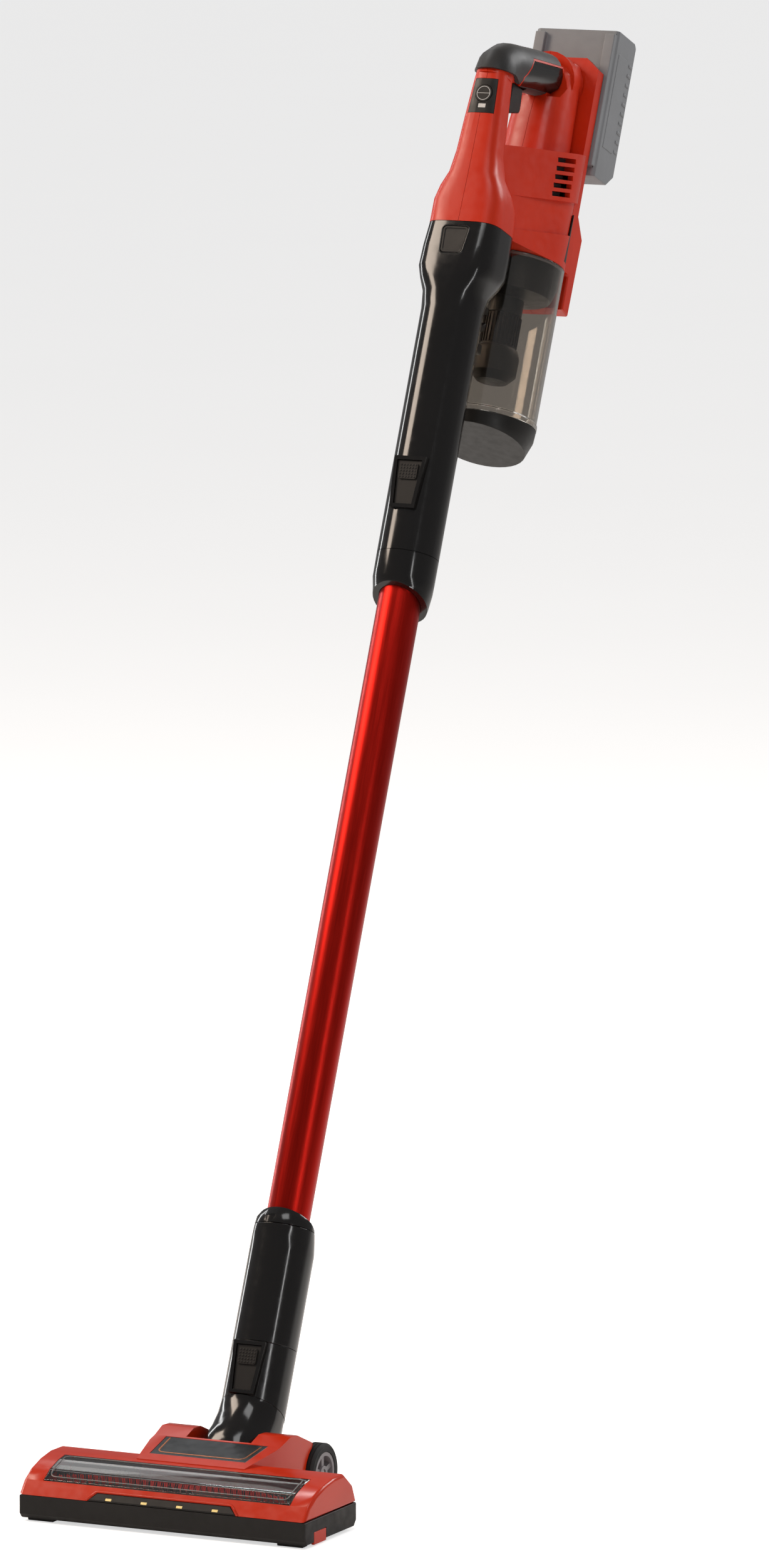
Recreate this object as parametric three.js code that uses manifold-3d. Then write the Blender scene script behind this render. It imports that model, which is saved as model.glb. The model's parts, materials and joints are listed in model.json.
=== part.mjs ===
// A cordless stick vacuum cleaner: hand unit, dust unit, wand, neck and floor head.
// Millimetres, +Z up, the head's front faces -Y, the floor is Z = 0.
// The head is drawn from its own front edge; everything above it is drawn in the stick's own frame,
// where z runs up the stick from the tilt hinge and +y is the side that faces the floor behind it.
import * as THREE from 'three';
import { mergeVertices } from 'three/addons/utils/BufferGeometryUtils.js';
import Module from 'manifold-3d';

const wasm = await Module();
wasm.setup();

// ---------------------------------------------------------------- driving dimensions
const GAP = 0.3;
const FRONT_EDGE_Y = -395.2;
const LEAN = THREE.MathUtils.degToRad(23.2);

const HEAD_HALF = 125;
const HEAD_DEPTH = 90;
const BASE_BOTTOM = 2.5;
const BASE_TOP = 21;
const WALL = 2.4;
const PIVOT = { y: 139.4, z: 25 };
const POCKET_HALF = 28.5;
const WHEEL = { radius: 24, y: 164, inner: 48.6, outer: 61, hub: 17, axle: 3 };
const ROLLER = { y: 27, z: 19.5, core: 11, tufts: 17.5, end: 108, journal: 4 };
const BRUSH_MOTOR = { y: 66, z: 27, radius: 11.5, shaft: 1.6, pulley: 4.6 };
const BELT = { inner: -121.5, outer: -117, thickness: 1.2 };
const WINDOW = { half: 108, front: 8, back: 45, thickness: 2 };

const TUBE = { radius: 17.5, wall: 1.3, bottom: 112, top: 788 };
const SLEEVE_RADIUS = 26;
const PIPE_RADIUS = 25.2;
const NECK_SEAM = { t: 48, slope: -0.325 };
const SOCKET_TOP = 100;
const SLEEVE_TOP = 196;
const COLLAR_TOP = 752;
const SEAM = 1030;
const RELEASE = { half: 14, taper: 11, height: 43, proud: 27.6 };
const LOWER_RELEASE_TOP = 101;
const UPPER_RELEASE_TOP = 829;

const BIN = { y: 92, radius: 43, wall: 2, bottom: 893.3 };
const SLANT = 0.25;
const ARM_TOP = 1161;
const TOWER = { half: 33, front: 118, back: 129, top: 1216 };
const GRIP = { half: 17.5, height: 18.5, skin: 3 };
const PANEL = { bottom: 1123.5, top: 1152.6, lowHalf: 13, highHalf: 10.5 };
const MODE_BUTTON = { t: 1140, radius: 7.3 };
const BATTERY = { half: 37.5, front: 134.6, back: 179, bottom: 1121, top: 1246 };
const RAIL = { half: 24, bottom: 1126, top: 1206, flange: 3.2 };

// ---------------------------------------------------------------- solids
/** Signed volume of a list of triangles: negative when the faces point inwards. */
function signedVolume(position, triangles) {
  const a = new THREE.Vector3();
  const b = new THREE.Vector3();
  const c = new THREE.Vector3();
  let sum = 0;
  for (let i = 0; i < triangles.length; i += 3) {
    a.fromBufferAttribute(position, triangles[i]);
    b.fromBufferAttribute(position, triangles[i + 1]);
    c.fromBufferAttribute(position, triangles[i + 2]);
    sum += a.dot(b.cross(c));
  }
  return sum;
}

/** A closed three.js geometry as a solid that can be joined and cut. */
function solid(geometry) {
  const bare = new THREE.BufferGeometry();
  bare.setAttribute('position', geometry.getAttribute('position').clone());
  if (geometry.index) bare.setIndex(geometry.index.clone());
  const merged = mergeVertices(bare, 1e-4);
  const position = merged.getAttribute('position');
  const triangles = [];
  for (let i = 0; i < merged.index.count; i += 3) {
    const [p, q, r] = [0, 1, 2].map((k) => merged.index.getX(i + k));
    if (p !== q && q !== r && r !== p) triangles.push(p, q, r);
  }
  if (signedVolume(position, triangles) < 0) triangles.reverse();
  return new wasm.Manifold(new wasm.Mesh({
    numProp: 3,
    vertProperties: new Float32Array(position.array),
    triVerts: new Uint32Array(triangles),
  }));
}

/** A solid back as a three.js geometry. */
function geometryOf(body) {
  const mesh = body.getMesh();
  const geometry = new THREE.BufferGeometry();
  geometry.setAttribute('position', new THREE.BufferAttribute(mesh.vertProperties, 3));
  geometry.setIndex(new THREE.BufferAttribute(mesh.triVerts, 1));
  geometry.computeVertexNormals();
  return geometry;
}

const join = (...bodies) => bodies.reduce((sum, body) => sum.add(body));
const cut = (body, ...tools) => tools.reduce((left, tool) => left.subtract(tool), body);

function outlineShape(points) {
  return Array.isArray(points) ? new THREE.Shape(points.map(([x, y]) => new THREE.Vector2(x, y))) : points;
}

/** An outline pushed along Z from z0 to z1. */
function prismZ(outline, z0, z1) {
  const geometry = new THREE.ExtrudeGeometry(outlineShape(outline), { depth: z1 - z0, bevelEnabled: false });
  return solid(geometry.translate(0, 0, z0));
}

const AXES = {
  x: new THREE.Matrix4().makeBasis(
    new THREE.Vector3(0, 1, 0), new THREE.Vector3(0, 0, 1), new THREE.Vector3(1, 0, 0)),
  y: new THREE.Matrix4().makeBasis(
    new THREE.Vector3(1, 0, 0), new THREE.Vector3(0, 0, 1), new THREE.Vector3(0, -1, 0)),
};

/** An outline in (y, z) pushed along X, with its edges rounded by bevel where one is given. */
function prismX(outline, x0, x1, bevel = 0) {
  const geometry = new THREE.ExtrudeGeometry(outlineShape(outline), {
    depth: x1 - x0 - 2 * bevel,
    bevelEnabled: bevel > 0,
    bevelSize: bevel,
    bevelThickness: bevel,
    bevelOffset: -bevel,
    bevelSegments: 3,
    curveSegments: 6,
  });
  geometry.translate(0, 0, bevel);
  return solid(geometry.applyMatrix4(AXES.x).translate(x0, 0, 0));
}

/** An outline in (x, z) pushed along Y from y0 to y1. */
function prismY(outline, y0, y1) {
  const options = { depth: y1 - y0, bevelEnabled: false, curveSegments: 4 };
  const geometry = new THREE.ExtrudeGeometry(outlineShape(outline), options);
  return solid(geometry.applyMatrix4(AXES.y).translate(0, y1, 0));
}

function box(x0, x1, y0, y1, z0, z1) {
  const geometry = new THREE.BoxGeometry(x1 - x0, y1 - y0, z1 - z0);
  return solid(geometry.translate((x0 + x1) / 2, (y0 + y1) / 2, (z0 + z1) / 2));
}

/** A profile of [radius, height] turned about the vertical line through (0, y). */
function turned(profile, y = 0, segments = 30) {
  const points = profile.map(([r, z]) => new THREE.Vector2(r, z));
  return solid(new THREE.LatheGeometry(points, segments).rotateX(Math.PI / 2).translate(0, y, 0));
}

/** A profile of [radius, x] turned about the line along X through (y, z). */
function turnedX(profile, y, z, segments = 24) {
  const points = profile.map(([r, x]) => new THREE.Vector2(r, x));
  return solid(new THREE.LatheGeometry(points, segments).rotateZ(-Math.PI / 2).translate(0, y, z));
}

const disc = (radius, z0, z1) => [[0, z0], [radius, z0], [radius, z1], [0, z1]];
const ring = (outer, inner, z0, z1) => [[inner, z0], [outer, z0], [outer, z1], [inner, z1], [inner, z0]];

/**
 * A body through rounded cross-sections stacked along Z. A station gives its height, its half width,
 * where its front and back lie, and how square it is: 2 is an ellipse and 4 a soft rectangle.
 */
function loft(stations, segments = 28) {
  const circle = Array.from({ length: segments }, (_, i) => {
    const angle = (2 * Math.PI * (i + 0.5)) / segments;
    return [Math.cos(angle), Math.sin(angle)];
  });
  const steps = stations.length - 1;
  const options = { depth: steps, steps, bevelEnabled: false };
  const geometry = new THREE.ExtrudeGeometry(outlineShape(circle), options);
  const position = geometry.getAttribute('position');
  for (let i = 0; i < position.count; i += 1) {
    const { t, half, front, back, square = 2 } = stations[Math.round(position.getZ(i))];
    const [x, y] = [position.getX(i), position.getY(i)].map(
      (value) => Math.sign(value) * Math.abs(value) ** (2 / square));
    position.setXYZ(i, x * half, (front + back) / 2 + (y * (back - front)) / 2, t);
  }
  return solid(geometry);
}

/** A round bar of the given half width and half height that follows a path in the (y, z) plane. */
function bentBar(points, halfWidth, halfHeight, steps = 12) {
  const path = new THREE.CatmullRomCurve3(points.map(([y, z]) => new THREE.Vector3(0, y, z)));
  const section = new THREE.Shape();
  section.absellipse(0, 0, halfWidth, halfHeight, 0, 2 * Math.PI);
  const options = { steps, curveSegments: 10, bevelEnabled: false, extrudePath: path };
  return solid(new THREE.ExtrudeGeometry(section, options));
}

/** Everything above the line z = z0 + slope * y, as a solid to cut with. */
function above(z0, slope = 0) {
  const [near, far, top] = [-400, 400, 3000];
  return prismX([[near, z0 + slope * near], [far, z0 + slope * far], [far, top], [near, top]], -400, 400);
}

function below(z0, slope = 0) {
  const [near, far, low] = [-400, 400, -3000];
  return prismX([[near, low], [far, low], [far, z0 + slope * far], [near, z0 + slope * near]], -400, 400);
}

function roundedRect(x, z, halfWidth, halfHeight, radius) {
  const shape = new THREE.Shape();
  const [l, r, b, t] = [x - halfWidth, x + halfWidth, z - halfHeight, z + halfHeight];
  shape.moveTo(l + radius, b);
  shape.lineTo(r - radius, b);
  shape.absarc(r - radius, b + radius, radius, -Math.PI / 2, 0);
  shape.lineTo(r, t - radius);
  shape.absarc(r - radius, t - radius, radius, 0, Math.PI / 2);
  shape.lineTo(l + radius, t);
  shape.absarc(l + radius, t - radius, radius, Math.PI / 2, Math.PI);
  shape.lineTo(l, b + radius);
  shape.absarc(l + radius, b + radius, radius, Math.PI, 1.5 * Math.PI);
  return shape;
}

/** An outline wider at the top than at the bottom, for release buttons, the panel and the light strip. */
function taperedOutline(bottom, top, lowHalf, highHalf, grow = 0) {
  return [
    [-lowHalf - grow, bottom - grow], [lowHalf + grow, bottom - grow],
    [highHalf + grow, top + grow], [-highHalf - grow, top + grow],
  ];
}

// ---------------------------------------------------------------- finishes and scene graph
const finishes = {
  red: [0xd3261c, 0.38, 0],
  anodisedRed: [0xa81f1d, 0.32, 0.8],
  glossBlack: [0x171514, 0.22, 0],
  satinBlack: [0x2b2724, 0.5, 0],
  softBlack: [0x211d1c, 0.75, 0],
  darkGrey: [0x3c3a38, 0.4, 0],
  grey: [0x6b6a69, 0.45, 0],
  clear: [0xa9a6a2, 0.08, 0],
  filterWhite: [0xe8e6e2, 0.9, 0],
  steel: [0xb9bcc0, 0.3, 1],
  light: [0xe9dca0, 0.3, 0],
};

const vacuum = new THREE.Group();
const head = new THREE.Group();
const stick = new THREE.Group();
head.position.set(0, FRONT_EDGE_Y, 0);
stick.position.set(0, FRONT_EDGE_Y + PIVOT.y, PIVOT.z);
stick.rotation.x = -LEAN;
vacuum.add(head, stick);

function addPart(group, name, body, finish) {
  const [color, roughness, metalness] = finishes[finish];
  const material = new THREE.MeshStandardMaterial({ color, roughness, metalness });
  const mesh = new THREE.Mesh(geometryOf(body), material);
  mesh.name = name;
  group.add(mesh);
}

// ---------------------------------------------------------------- floor head
const COVER_PROFILE = [[0, 21.3], [8, 32], [19, 39], [34, 44], [51, 47], [69, 47], [84, 36], [90, 21.3]];
const FAIRING_PROFILE = [
  [46, 30], [50, 47.5], [62, 50], [97, 57], [112, 62], [124, 61.5],
  [148, 52], [166, 44], [180, 30], [180, 12], [88, 12],
];

/** The line of the cover's top between the profile's points, moved out by an offset. */
function coverLine(offset, from, to) {
  return COVER_PROFILE.filter(([y]) => y >= from && y <= to).map(([y, z]) => {
    const lean = THREE.MathUtils.clamp((45 - y) / 45, 0, 1);
    return [y - offset * lean, z + offset * (1 - lean * 0.5)];
  });
}

function wheelWell(side, reach) {
  const profile = disc(WHEEL.radius + reach, WHEEL.inner - 1.6, 90);
  return turnedX(profile.map(([r, x]) => [r, side * x]), WHEEL.y, WHEEL.radius);
}

function rearArm(side) {
  const outline = [[86, 8], [180, 8], [180, 20.9], [86, 20.9]];
  return side > 0 ? prismX(outline, POCKET_HALF + 0.5, 46) : prismX(outline, -46, -POCKET_HALF - 0.5);
}

function tiltPinHole() {
  return turnedX(disc(3 + GAP, -34, 34), PIVOT.y, PIVOT.z, 24);
}

function headBase() {
  const outer = prismX([[0, 6], [3, BASE_BOTTOM], [86, BASE_BOTTOM], [90, 7], [90, 20.9], [0, 20.9]],
    -HEAD_HALF, HEAD_HALF, 1.5);
  const chamber = box(-ROLLER.end - 0.5, 112, 5.5, 52, -5, 40);
  const slotFloor = box(-ROLLER.end - 0.5, 112, 5.5, 9, BASE_BOTTOM, 4.5);
  const rearRoom = box(-HEAD_HALF + WALL, HEAD_HALF - WALL, 54.2, HEAD_DEPTH - WALL, 5, 40);
  const beltRoom = box(-HEAD_HALF + WALL, -ROLLER.end - 3, 4, 60, 5, 40);
  const shaftHole = turnedX(disc(ROLLER.journal + 1, -116, 118), ROLLER.y, ROLLER.z, 24);
  const tabRecess = box(119, 140, 16 - GAP, 37 + GAP, -5, 11 + GAP);
  const axleHoles = turnedX(disc(WHEEL.axle + GAP, -60, 60), WHEEL.y, WHEEL.radius, 24);
  const body = join(outer, rearArm(1), rearArm(-1));
  return cut(body, chamber, rearRoom, beltRoom, shaftHole, tabRecess, axleHoles).add(slotFloor);
}

function fairing(inset) {
  const side = prismX(FAIRING_PROFILE.map(([y, z]) => [y, z - inset]), -70, 70);
  const plan = [
    [-46, 44], [46, 44], [55, 88], [56.5, 112], [56, 150], [47, 180], [-47, 180], [-56, 150], [-56.5, 112],
    [-55, 88],
  ];
  const planSolid = prismZ(plan.map(([x, y]) => [x - Math.sign(x) * inset, y]), 0, 90);
  return side.intersect(planSolid);
}

function platePrism(grow, depth, proud = 0) {
  const outline = [
    [-41.7 - grow, 62 - grow], [41.7 + grow, 62 - grow], [44.7 + grow, 96 + grow], [-44.7 - grow, 96 + grow],
  ];
  return cut(prismZ(outline, 30, 80), below(37.6 - depth, 0.2), above(37.6 + proud, 0.2));
}

function headCover() {
  const outer = prismX(COVER_PROFILE, -HEAD_HALF, HEAD_HALF, 3);
  const innerLine = coverLine(-WALL, 0, 90).concat([[87, 10], [2.6, 10]]);
  const inner = prismX(innerLine, -HEAD_HALF + WALL, HEAD_HALF - WALL);
  const shell = join(outer, fairing(0));
  const hollow = join(inner, cut(fairing(WALL), box(-90, 90, 88, 200, -5, 90)));
  const windowHole = box(-WINDOW.half, WINDOW.half, WINDOW.front, WINDOW.back, 20, 80);
  const pocket = join(
    box(-POCKET_HALF, POCKET_HALF, 98.5, 200, -5, 90),
    box(-POCKET_HALF, POCKET_HALF, HEAD_DEPTH + 0.4, 200, -5, 36));
  const neckRoom = turnedX(disc(49.2, -POCKET_HALF, POCKET_HALF), PIVOT.y, PIVOT.z, 48);
  const strip = prismY(taperedOutline(21.3, 27, 65, 58, GAP), -5, 7);
  const baseRoom = join(
    box(-200, 200, -10, HEAD_DEPTH + 0.6, -5, 21.25),
    box(-47, -POCKET_HALF, 80, 200, -5, 21.25),
    box(POCKET_HALF, 47, 80, 200, -5, 21.25),
  );
  const axleHoles = turnedX(disc(WHEEL.axle + GAP, -60, 60), WHEEL.y, WHEEL.radius, 24);
  return cut(shell, hollow, windowHole, pocket, neckRoom, strip, baseRoom, axleHoles, tiltPinHole(),
    wheelWell(1, 2.5), wheelWell(-1, 2.5), platePrism(GAP, 1.2, 3), box(-200, 200, 90.5, 300, -5, 13));
}

function brushWindow() {
  const [front, back] = [WINDOW.front + GAP, WINDOW.back - GAP];
  const top = [[front, 32.7], [19, 39.6], [34, 44.6], [back, 46.3]];
  const under = top.map(([y, z]) => [y + 0.5, z - WINDOW.thickness - 0.4]).reverse();
  return prismX(top.concat([[back, 44]], under.slice(1)), -WINDOW.half + GAP, WINDOW.half - GAP, 0);
}

function brushRoller() {
  const j = ROLLER.journal;
  return turnedX([
    [0, -117.5], [j - 0.2, -117.5], [j - 0.2, -107.8], [ROLLER.core, -107.8], [ROLLER.core, 107],
    [j, 107], [j, 117], [0, 117],
  ], ROLLER.y, ROLLER.z);
}

function pulley(y, z, bore, radius) {
  const [a, b] = [BELT.inner - 0.6, BELT.outer + 0.3];
  const profile = [
    [bore, a], [radius + 1.6, a], [radius + 1.6, a + 0.5], [radius, a + 0.5], [radius, b - 0.5],
    [radius + 1.6, b - 0.5], [radius + 1.6, b], [bore, b], [bore, a],
  ];
  return turnedX(profile, y, z, 18);
}

/** The outline of a belt round two circles of unlike size, as one closed loop. */
function beltOutline(grow) {
  const [r1, r2] = [8 + GAP + grow, BRUSH_MOTOR.pulley + GAP + grow];
  const [dy, dz] = [BRUSH_MOTOR.y - ROLLER.y, BRUSH_MOTOR.z - ROLLER.z];
  const heading = Math.atan2(dz, dy);
  const spread = Math.acos((r1 - r2) / Math.hypot(dy, dz));
  const points = [];
  const arc = (y, z, r, from, to) => {
    for (let i = 0; i <= 12; i += 1) {
      const angle = from + ((to - from) * i) / 12;
      points.push([y + r * Math.cos(angle), z + r * Math.sin(angle)]);
    }
  };
  arc(ROLLER.y, ROLLER.z, r1, heading + spread, heading + 2 * Math.PI - spread);
  arc(BRUSH_MOTOR.y, BRUSH_MOTOR.z, r2, heading - spread, heading + spread);
  return points;
}

function driveBelt() {
  const [a, b] = [BELT.inner + 0.2, BELT.outer - 0.5];
  return cut(prismX(beltOutline(BELT.thickness), a, b), prismX(beltOutline(0), a - 5, b + 5));
}

function wheelTyre(side) {
  const { radius, inner, outer, hub } = WHEEL;
  const profile = [
    [hub + GAP, inner], [radius - 1.5, inner], [radius, inner + 1.5], [radius, outer - 2.5],
    [radius - 2, outer], [hub + GAP, outer], [hub + GAP, inner],
  ];
  return turnedX(profile.map(([r, x]) => [r, side * x]), WHEEL.y, radius, 32);
}

function wheelHub(side) {
  const { radius, inner, outer, hub, axle } = WHEEL;
  const at = (x) => side * x;
  const bore = axle + GAP;
  const profile = [
    [bore, inner + 0.5], [hub, inner + 0.5], [hub, outer - 0.6], [hub - 3, outer - 0.6], [hub - 3, inner + 3],
    [6, inner + 3], [6, outer - 1.2], [bore, outer - 1.2], [bore, inner + 0.5],
  ];
  let body = turnedX(profile.map(([r, x]) => [r, at(x)]), WHEEL.y, radius);
  for (let i = 0; i < 5; i += 1) {
    const spoke = new THREE.BoxGeometry(8, 4, hub - 5).translate(0, 0, 5 + (hub - 5) / 2);
    spoke.rotateX((2 * Math.PI * i) / 5).translate(at(inner + 6), WHEEL.y, radius);
    body = body.add(solid(spoke));
  }
  return body;
}

function buildHead() {
  addPart(head, 'head_base', headBase(), 'satinBlack');
  addPart(head, 'head_cover', headCover(), 'red');
  addPart(head, 'brush_window', brushWindow(), 'clear');
  addPart(head, 'brush_roller', brushRoller(), 'satinBlack');
  addPart(head, 'brush_tufts',
    turnedX(ring(ROLLER.tufts, ROLLER.core + GAP, -104, 104), ROLLER.y, ROLLER.z), 'softBlack');
  addPart(head, 'roller_pulley', pulley(ROLLER.y, ROLLER.z, ROLLER.journal + 0.1, 8), 'grey');
  addPart(head, 'motor_pulley',
    pulley(BRUSH_MOTOR.y, BRUSH_MOTOR.z, BRUSH_MOTOR.shaft + GAP, BRUSH_MOTOR.pulley), 'grey');
  addPart(head, 'drive_belt', driveBelt(), 'softBlack');
  const motor = join(
    turnedX(disc(BRUSH_MOTOR.radius, -108, -58), BRUSH_MOTOR.y, BRUSH_MOTOR.z),
    turnedX(disc(BRUSH_MOTOR.shaft, -122, -107), BRUSH_MOTOR.y, BRUSH_MOTOR.z, 16));
  addPart(head, 'brush_motor', motor, 'steel');
  addPart(head, 'brush_tab', box(122.3, HEAD_HALF, 16, 37, 1, 11), 'red');
  const strip = cut(prismY(taperedOutline(21.3, 27, 64.6, 57.8), 0.6, 6.6), above(21.6, 1.45));
  const lensX = [-47, -16, 15, 46];
  const lensHole = (x, grow) => box(x - 2.5 - grow, x + 2.5 + grow, -5, 2.8 + grow, 22.6 - grow, 24.2 + grow);
  addPart(head, 'light_strip', cut(strip, ...lensX.map((x) => lensHole(x, GAP))), 'satinBlack');
  lensX.forEach((x, i) => {
    const lens = cut(lensHole(x, 0), above(21.6, 1.45));
    addPart(head, `light_lens_${i + 1}`, lens, 'light');
  });
  addPart(head, 'label_plate', platePrism(0, 1.2 - GAP), 'darkGrey');
  for (const [label, side] of [['left', -1], ['right', 1]]) {
    const [a, b] = side > 0 ? [98, 120] : [-120, -98];
    const foot = prismX([[5, 2.2], [5.8, 0], [14, 0], [15, 2.2]], a, b);
    addPart(head, `front_foot_${label}`, foot, 'satinBlack');
    addPart(head, `tyre_${label}`, wheelTyre(side), 'softBlack');
    addPart(head, `wheel_hub_${label}`, wheelHub(side), 'grey');
    const axle = disc(WHEEL.axle, side * 36, side * 59);
    addPart(head, `wheel_axle_${label}`, turnedX(axle, WHEEL.y, WHEEL.radius, 20), 'steel');
    const pin = disc(3, side * 21, side * 33.5);
    addPart(head, `tilt_pin_${label}`, turnedX(pin, PIVOT.y, PIVOT.z, 20), 'steel');
  }
}

// ---------------------------------------------------------------- neck and lower socket
function neckElbow() {
  const body = loft([
    { t: -18, half: 22, front: -26, back: 10, square: 3.6 },
    { t: -11, half: 25, front: -43, back: 18, square: 3.2 },
    { t: 5, half: 26, front: -46.8, back: 24, square: 2.8 },
    { t: 20, half: 26, front: -43.3, back: 26, square: 2.5 },
    { t: 30, half: 26, front: -36, back: 26, square: 2.2 },
    { t: 42, half: 26, front: -29.5, back: 26 },
    { t: 52, half: 26, front: -26.4, back: 26 },
    { t: 60, half: 26, front: -26, back: 26 },
  ], 30);
  const bore = turned(disc(19, 25, 80));
  const pinBore = turnedX(disc(3 + GAP, -40, 40), 0, 0, 24);
  return cut(body, above(NECK_SEAM.t - 0.2, NECK_SEAM.slope), bore, pinBore);
}

/** The raised frame round a wand release button, on the front of a round body. */
function releaseFrame(top) {
  const outline = taperedOutline(top - RELEASE.height, top, RELEASE.taper, RELEASE.half);
  return cut(prismY(outline, -RELEASE.proud, -10), turned(disc(18.4, top - 80, top + 20)));
}

function releasePrism(top, grow, back) {
  const [low, high] = [RELEASE.taper - 3.2, RELEASE.half - 3.2];
  return prismY(taperedOutline(top - RELEASE.height + 3.5, top - 3.5, low, high, grow), -40, back);
}

function releaseButton(top) {
  const plate = cut(releasePrism(top, 0, -23.4), box(-20, 20, -60, -26.2, top - 60, top + 5));
  const pad = prismY(roundedRect(0, top - 12.5, 8.2, 6.6, 2), -27.4, -26);
  return plate.add(pad);
}

function lowerSocket() {
  const body = join(
    turned(disc(SLEEVE_RADIUS, 30, SOCKET_TOP), 0, 36),
    releaseFrame(LOWER_RELEASE_TOP - 1.5));
  const bore = turned(disc(18, TUBE.bottom - 20, 300));
  const duct = turned(disc(19, 20, TUBE.bottom - 19));
  return cut(body, below(NECK_SEAM.t + 0.2, NECK_SEAM.slope), bore, duct,
    releasePrism(LOWER_RELEASE_TOP - 1.5, GAP, -21));
}

function sleeve() {
  return cut(
    loft([
      { t: SOCKET_TOP + 0.3, half: 26, front: -26, back: 26 },
      { t: 178, half: 25.8, front: -25.8, back: 25.8 },
      { t: 188, half: 25.2, front: -25.8, back: 23.4 },
      { t: SLEEVE_TOP, half: 24.4, front: -25.8, back: 21 },
    ], 36),
    turned(disc(17.9, 60, 300)));
}

function sleeveCap() {
  const body = loft([
    { t: SLEEVE_TOP - 20, half: 24.4, front: -25.8, back: 21 },
    { t: SLEEVE_TOP, half: 24.4, front: -25.8, back: 21 },
    { t: 202, half: 23.4, front: -25.5, back: 19.8 },
    { t: 210, half: 19.6, front: -20, back: 19.2 },
  ], 36);
  const slot = box(-7.5, 1, -30, -24.2, 201.6, 203.2);
  return cut(body, below(SLEEVE_TOP + 0.4), turned(disc(17.9, 60, 300)), above(199.9, -0.5), slot);
}

// ---------------------------------------------------------------- wand and dust unit
function pipeCollar() {
  const body = loft([
    { t: 700, half: 20.4, front: -19, back: 22 },
    { t: 712, half: 22.8, front: -20, back: 24.2 },
    { t: 724, half: 24.4, front: -21.5, back: 25 },
    { t: 732, half: 25.1, front: -24.8, back: 25.2 },
    { t: COLLAR_TOP, half: 25.2, front: -25.2, back: 25.2 },
  ], 36);
  return cut(body, below(715, -0.5), turned(disc(17.9, 600, 900)));
}

function pipeBody() {
  return loft([
    { t: COLLAR_TOP + 0.4, half: PIPE_RADIUS, front: -PIPE_RADIUS, back: PIPE_RADIUS },
    { t: 958, half: PIPE_RADIUS, front: -PIPE_RADIUS, back: PIPE_RADIUS },
    { t: 972, half: 26.4, front: -25.2, back: 27, square: 2.2 },
    { t: 983, half: 30.2, front: -24.8, back: 31, square: 2.8 },
    { t: 993, half: 32.8, front: -24, back: 33.5, square: 3.4 },
    { t: 1010, half: 32.4, front: -21.6, back: 34, square: 3.8 },
    { t: SEAM - 0.2, half: 31, front: -19, back: 34, square: 4 },
  ], 36);
}

function squareButtonPrism(grow, back) {
  return prismY(taperedOutline(1002.5, 1025, 9.4, 11, grow), -40, back);
}

function intakePipe() {
  const duct = join(box(-13, 13, 24, 47.6, 1000, 1022), box(-13, 13, 20, 30, 1000, 1022));
  const body = join(pipeBody(), duct, releaseFrame(UPPER_RELEASE_TOP));
  return cut(body,
    turned(disc(17.9, 700, TUBE.top + 2)),
    turned(disc(16, 700, 1024)),
    box(-10.5, 10.5, 5, 60, 1002.5, 1019.5),
    releasePrism(UPPER_RELEASE_TOP, GAP, -21),
    squareButtonPrism(GAP, -16.9));
}

function squareButton() {
  return squareButtonPrism(0, -18.6).intersect(pipeBody());
}

function dustBin() {
  const { y, radius, wall, bottom } = BIN;
  const profile = [
    [radius - wall - 0.8, bottom], [radius + 0.3, bottom],
    [radius + 0.3, bottom + 4], [radius - 0.6, bottom + 5],
    [radius, SEAM - 0.3], [radius - wall, SEAM - 0.3], [radius - wall - 0.8, bottom + 5],
    [radius - wall - 0.8, bottom],
  ];
  const port = box(-11.5, 11.5, 30, 60, 1001.5, 1020.5);
  return cut(turned(profile, y, 36), port);
}

function binLid() {
  const { y } = BIN;
  const cover = loft([
    { t: 858, half: 33, front: y - 33, back: y + 33 },
    { t: 870, half: 37, front: y - 36.5, back: y + 37 },
    { t: 884, half: 42.4, front: y - 42.4, back: y + 42.4 },
    { t: 893, half: 43, front: y - 43, back: y + 43 },
  ], 36);
  const hinge = box(-9, 9, y + 38, y + 46.5, 887, 893);
  const dish = turned([[0, 884], [34, 884], [38, 897], [0, 897]], y);
  return cut(join(cover, hinge), dish, below(883 + 0.2 * 49, -0.2));
}

function binLever() {
  const stem = box(-5, 5, 37.5, 41.5, 936, 984);
  const tabLine = [[34.5, 957], [41.5, 955.5], [46, 962], [45, 964.5], [41, 961], [34.5, 960.4]];
  const tab = prismX(tabLine, -9.5, 9.5);
  return join(stem, tab);
}

function cycloneInsert() {
  const { y } = BIN;
  const body = turned([
    [36.6, SEAM - 1], [39.8, SEAM - 1], [39.8, 1012], [36, 1001.5], [15, 999], [15, 985.2], [12.6, 985.2],
    [12.6, 1001.2], [33.6, 1003.6], [36.6, 1012.6], [36.6, SEAM - 1],
  ], y);
  return body;
}

function cycloneShroud() {
  const { y } = BIN;
  const profile = [
    [0, 928], [13, 928.6], [19, 935], [19.4, 950], [16.8, 956.5], [14.8, 957.5], [14.8, 984.8], [12.4, 984.8],
    [12.4, 956], [16.6, 949], [16.4, 936], [12, 931.2], [0, 930.6],
  ];
  return turned(profile, y);
}

function filterFrame() {
  const { y } = BIN;
  const flange = turned(ring(35.4, 17, 1045.4, 1048.4), y);
  const collar = turned(ring(26.5, 24, 1041, 1046), y);
  const ears = box(-38, 38, y - 5, y + 5, 1045.4, 1048.4).intersect(turned(disc(38.2, 1040, 1050), y));
  return cut(join(flange, collar, ears), turned(disc(17, 1030, 1060), y));
}

function filterPleats() {
  const { y } = BIN;
  return turned([[14.5, 1008.3], [17, 1008.3], [23.6, 1045], [19.5, 1045], [14.5, 1008.3]], y);
}

function filterCap() {
  const { y } = BIN;
  return turned([[0, 1005], [17.6, 1005], [18.6, 1011], [17.9, 1011], [17.4, 1008], [0, 1008]], y);
}

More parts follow.
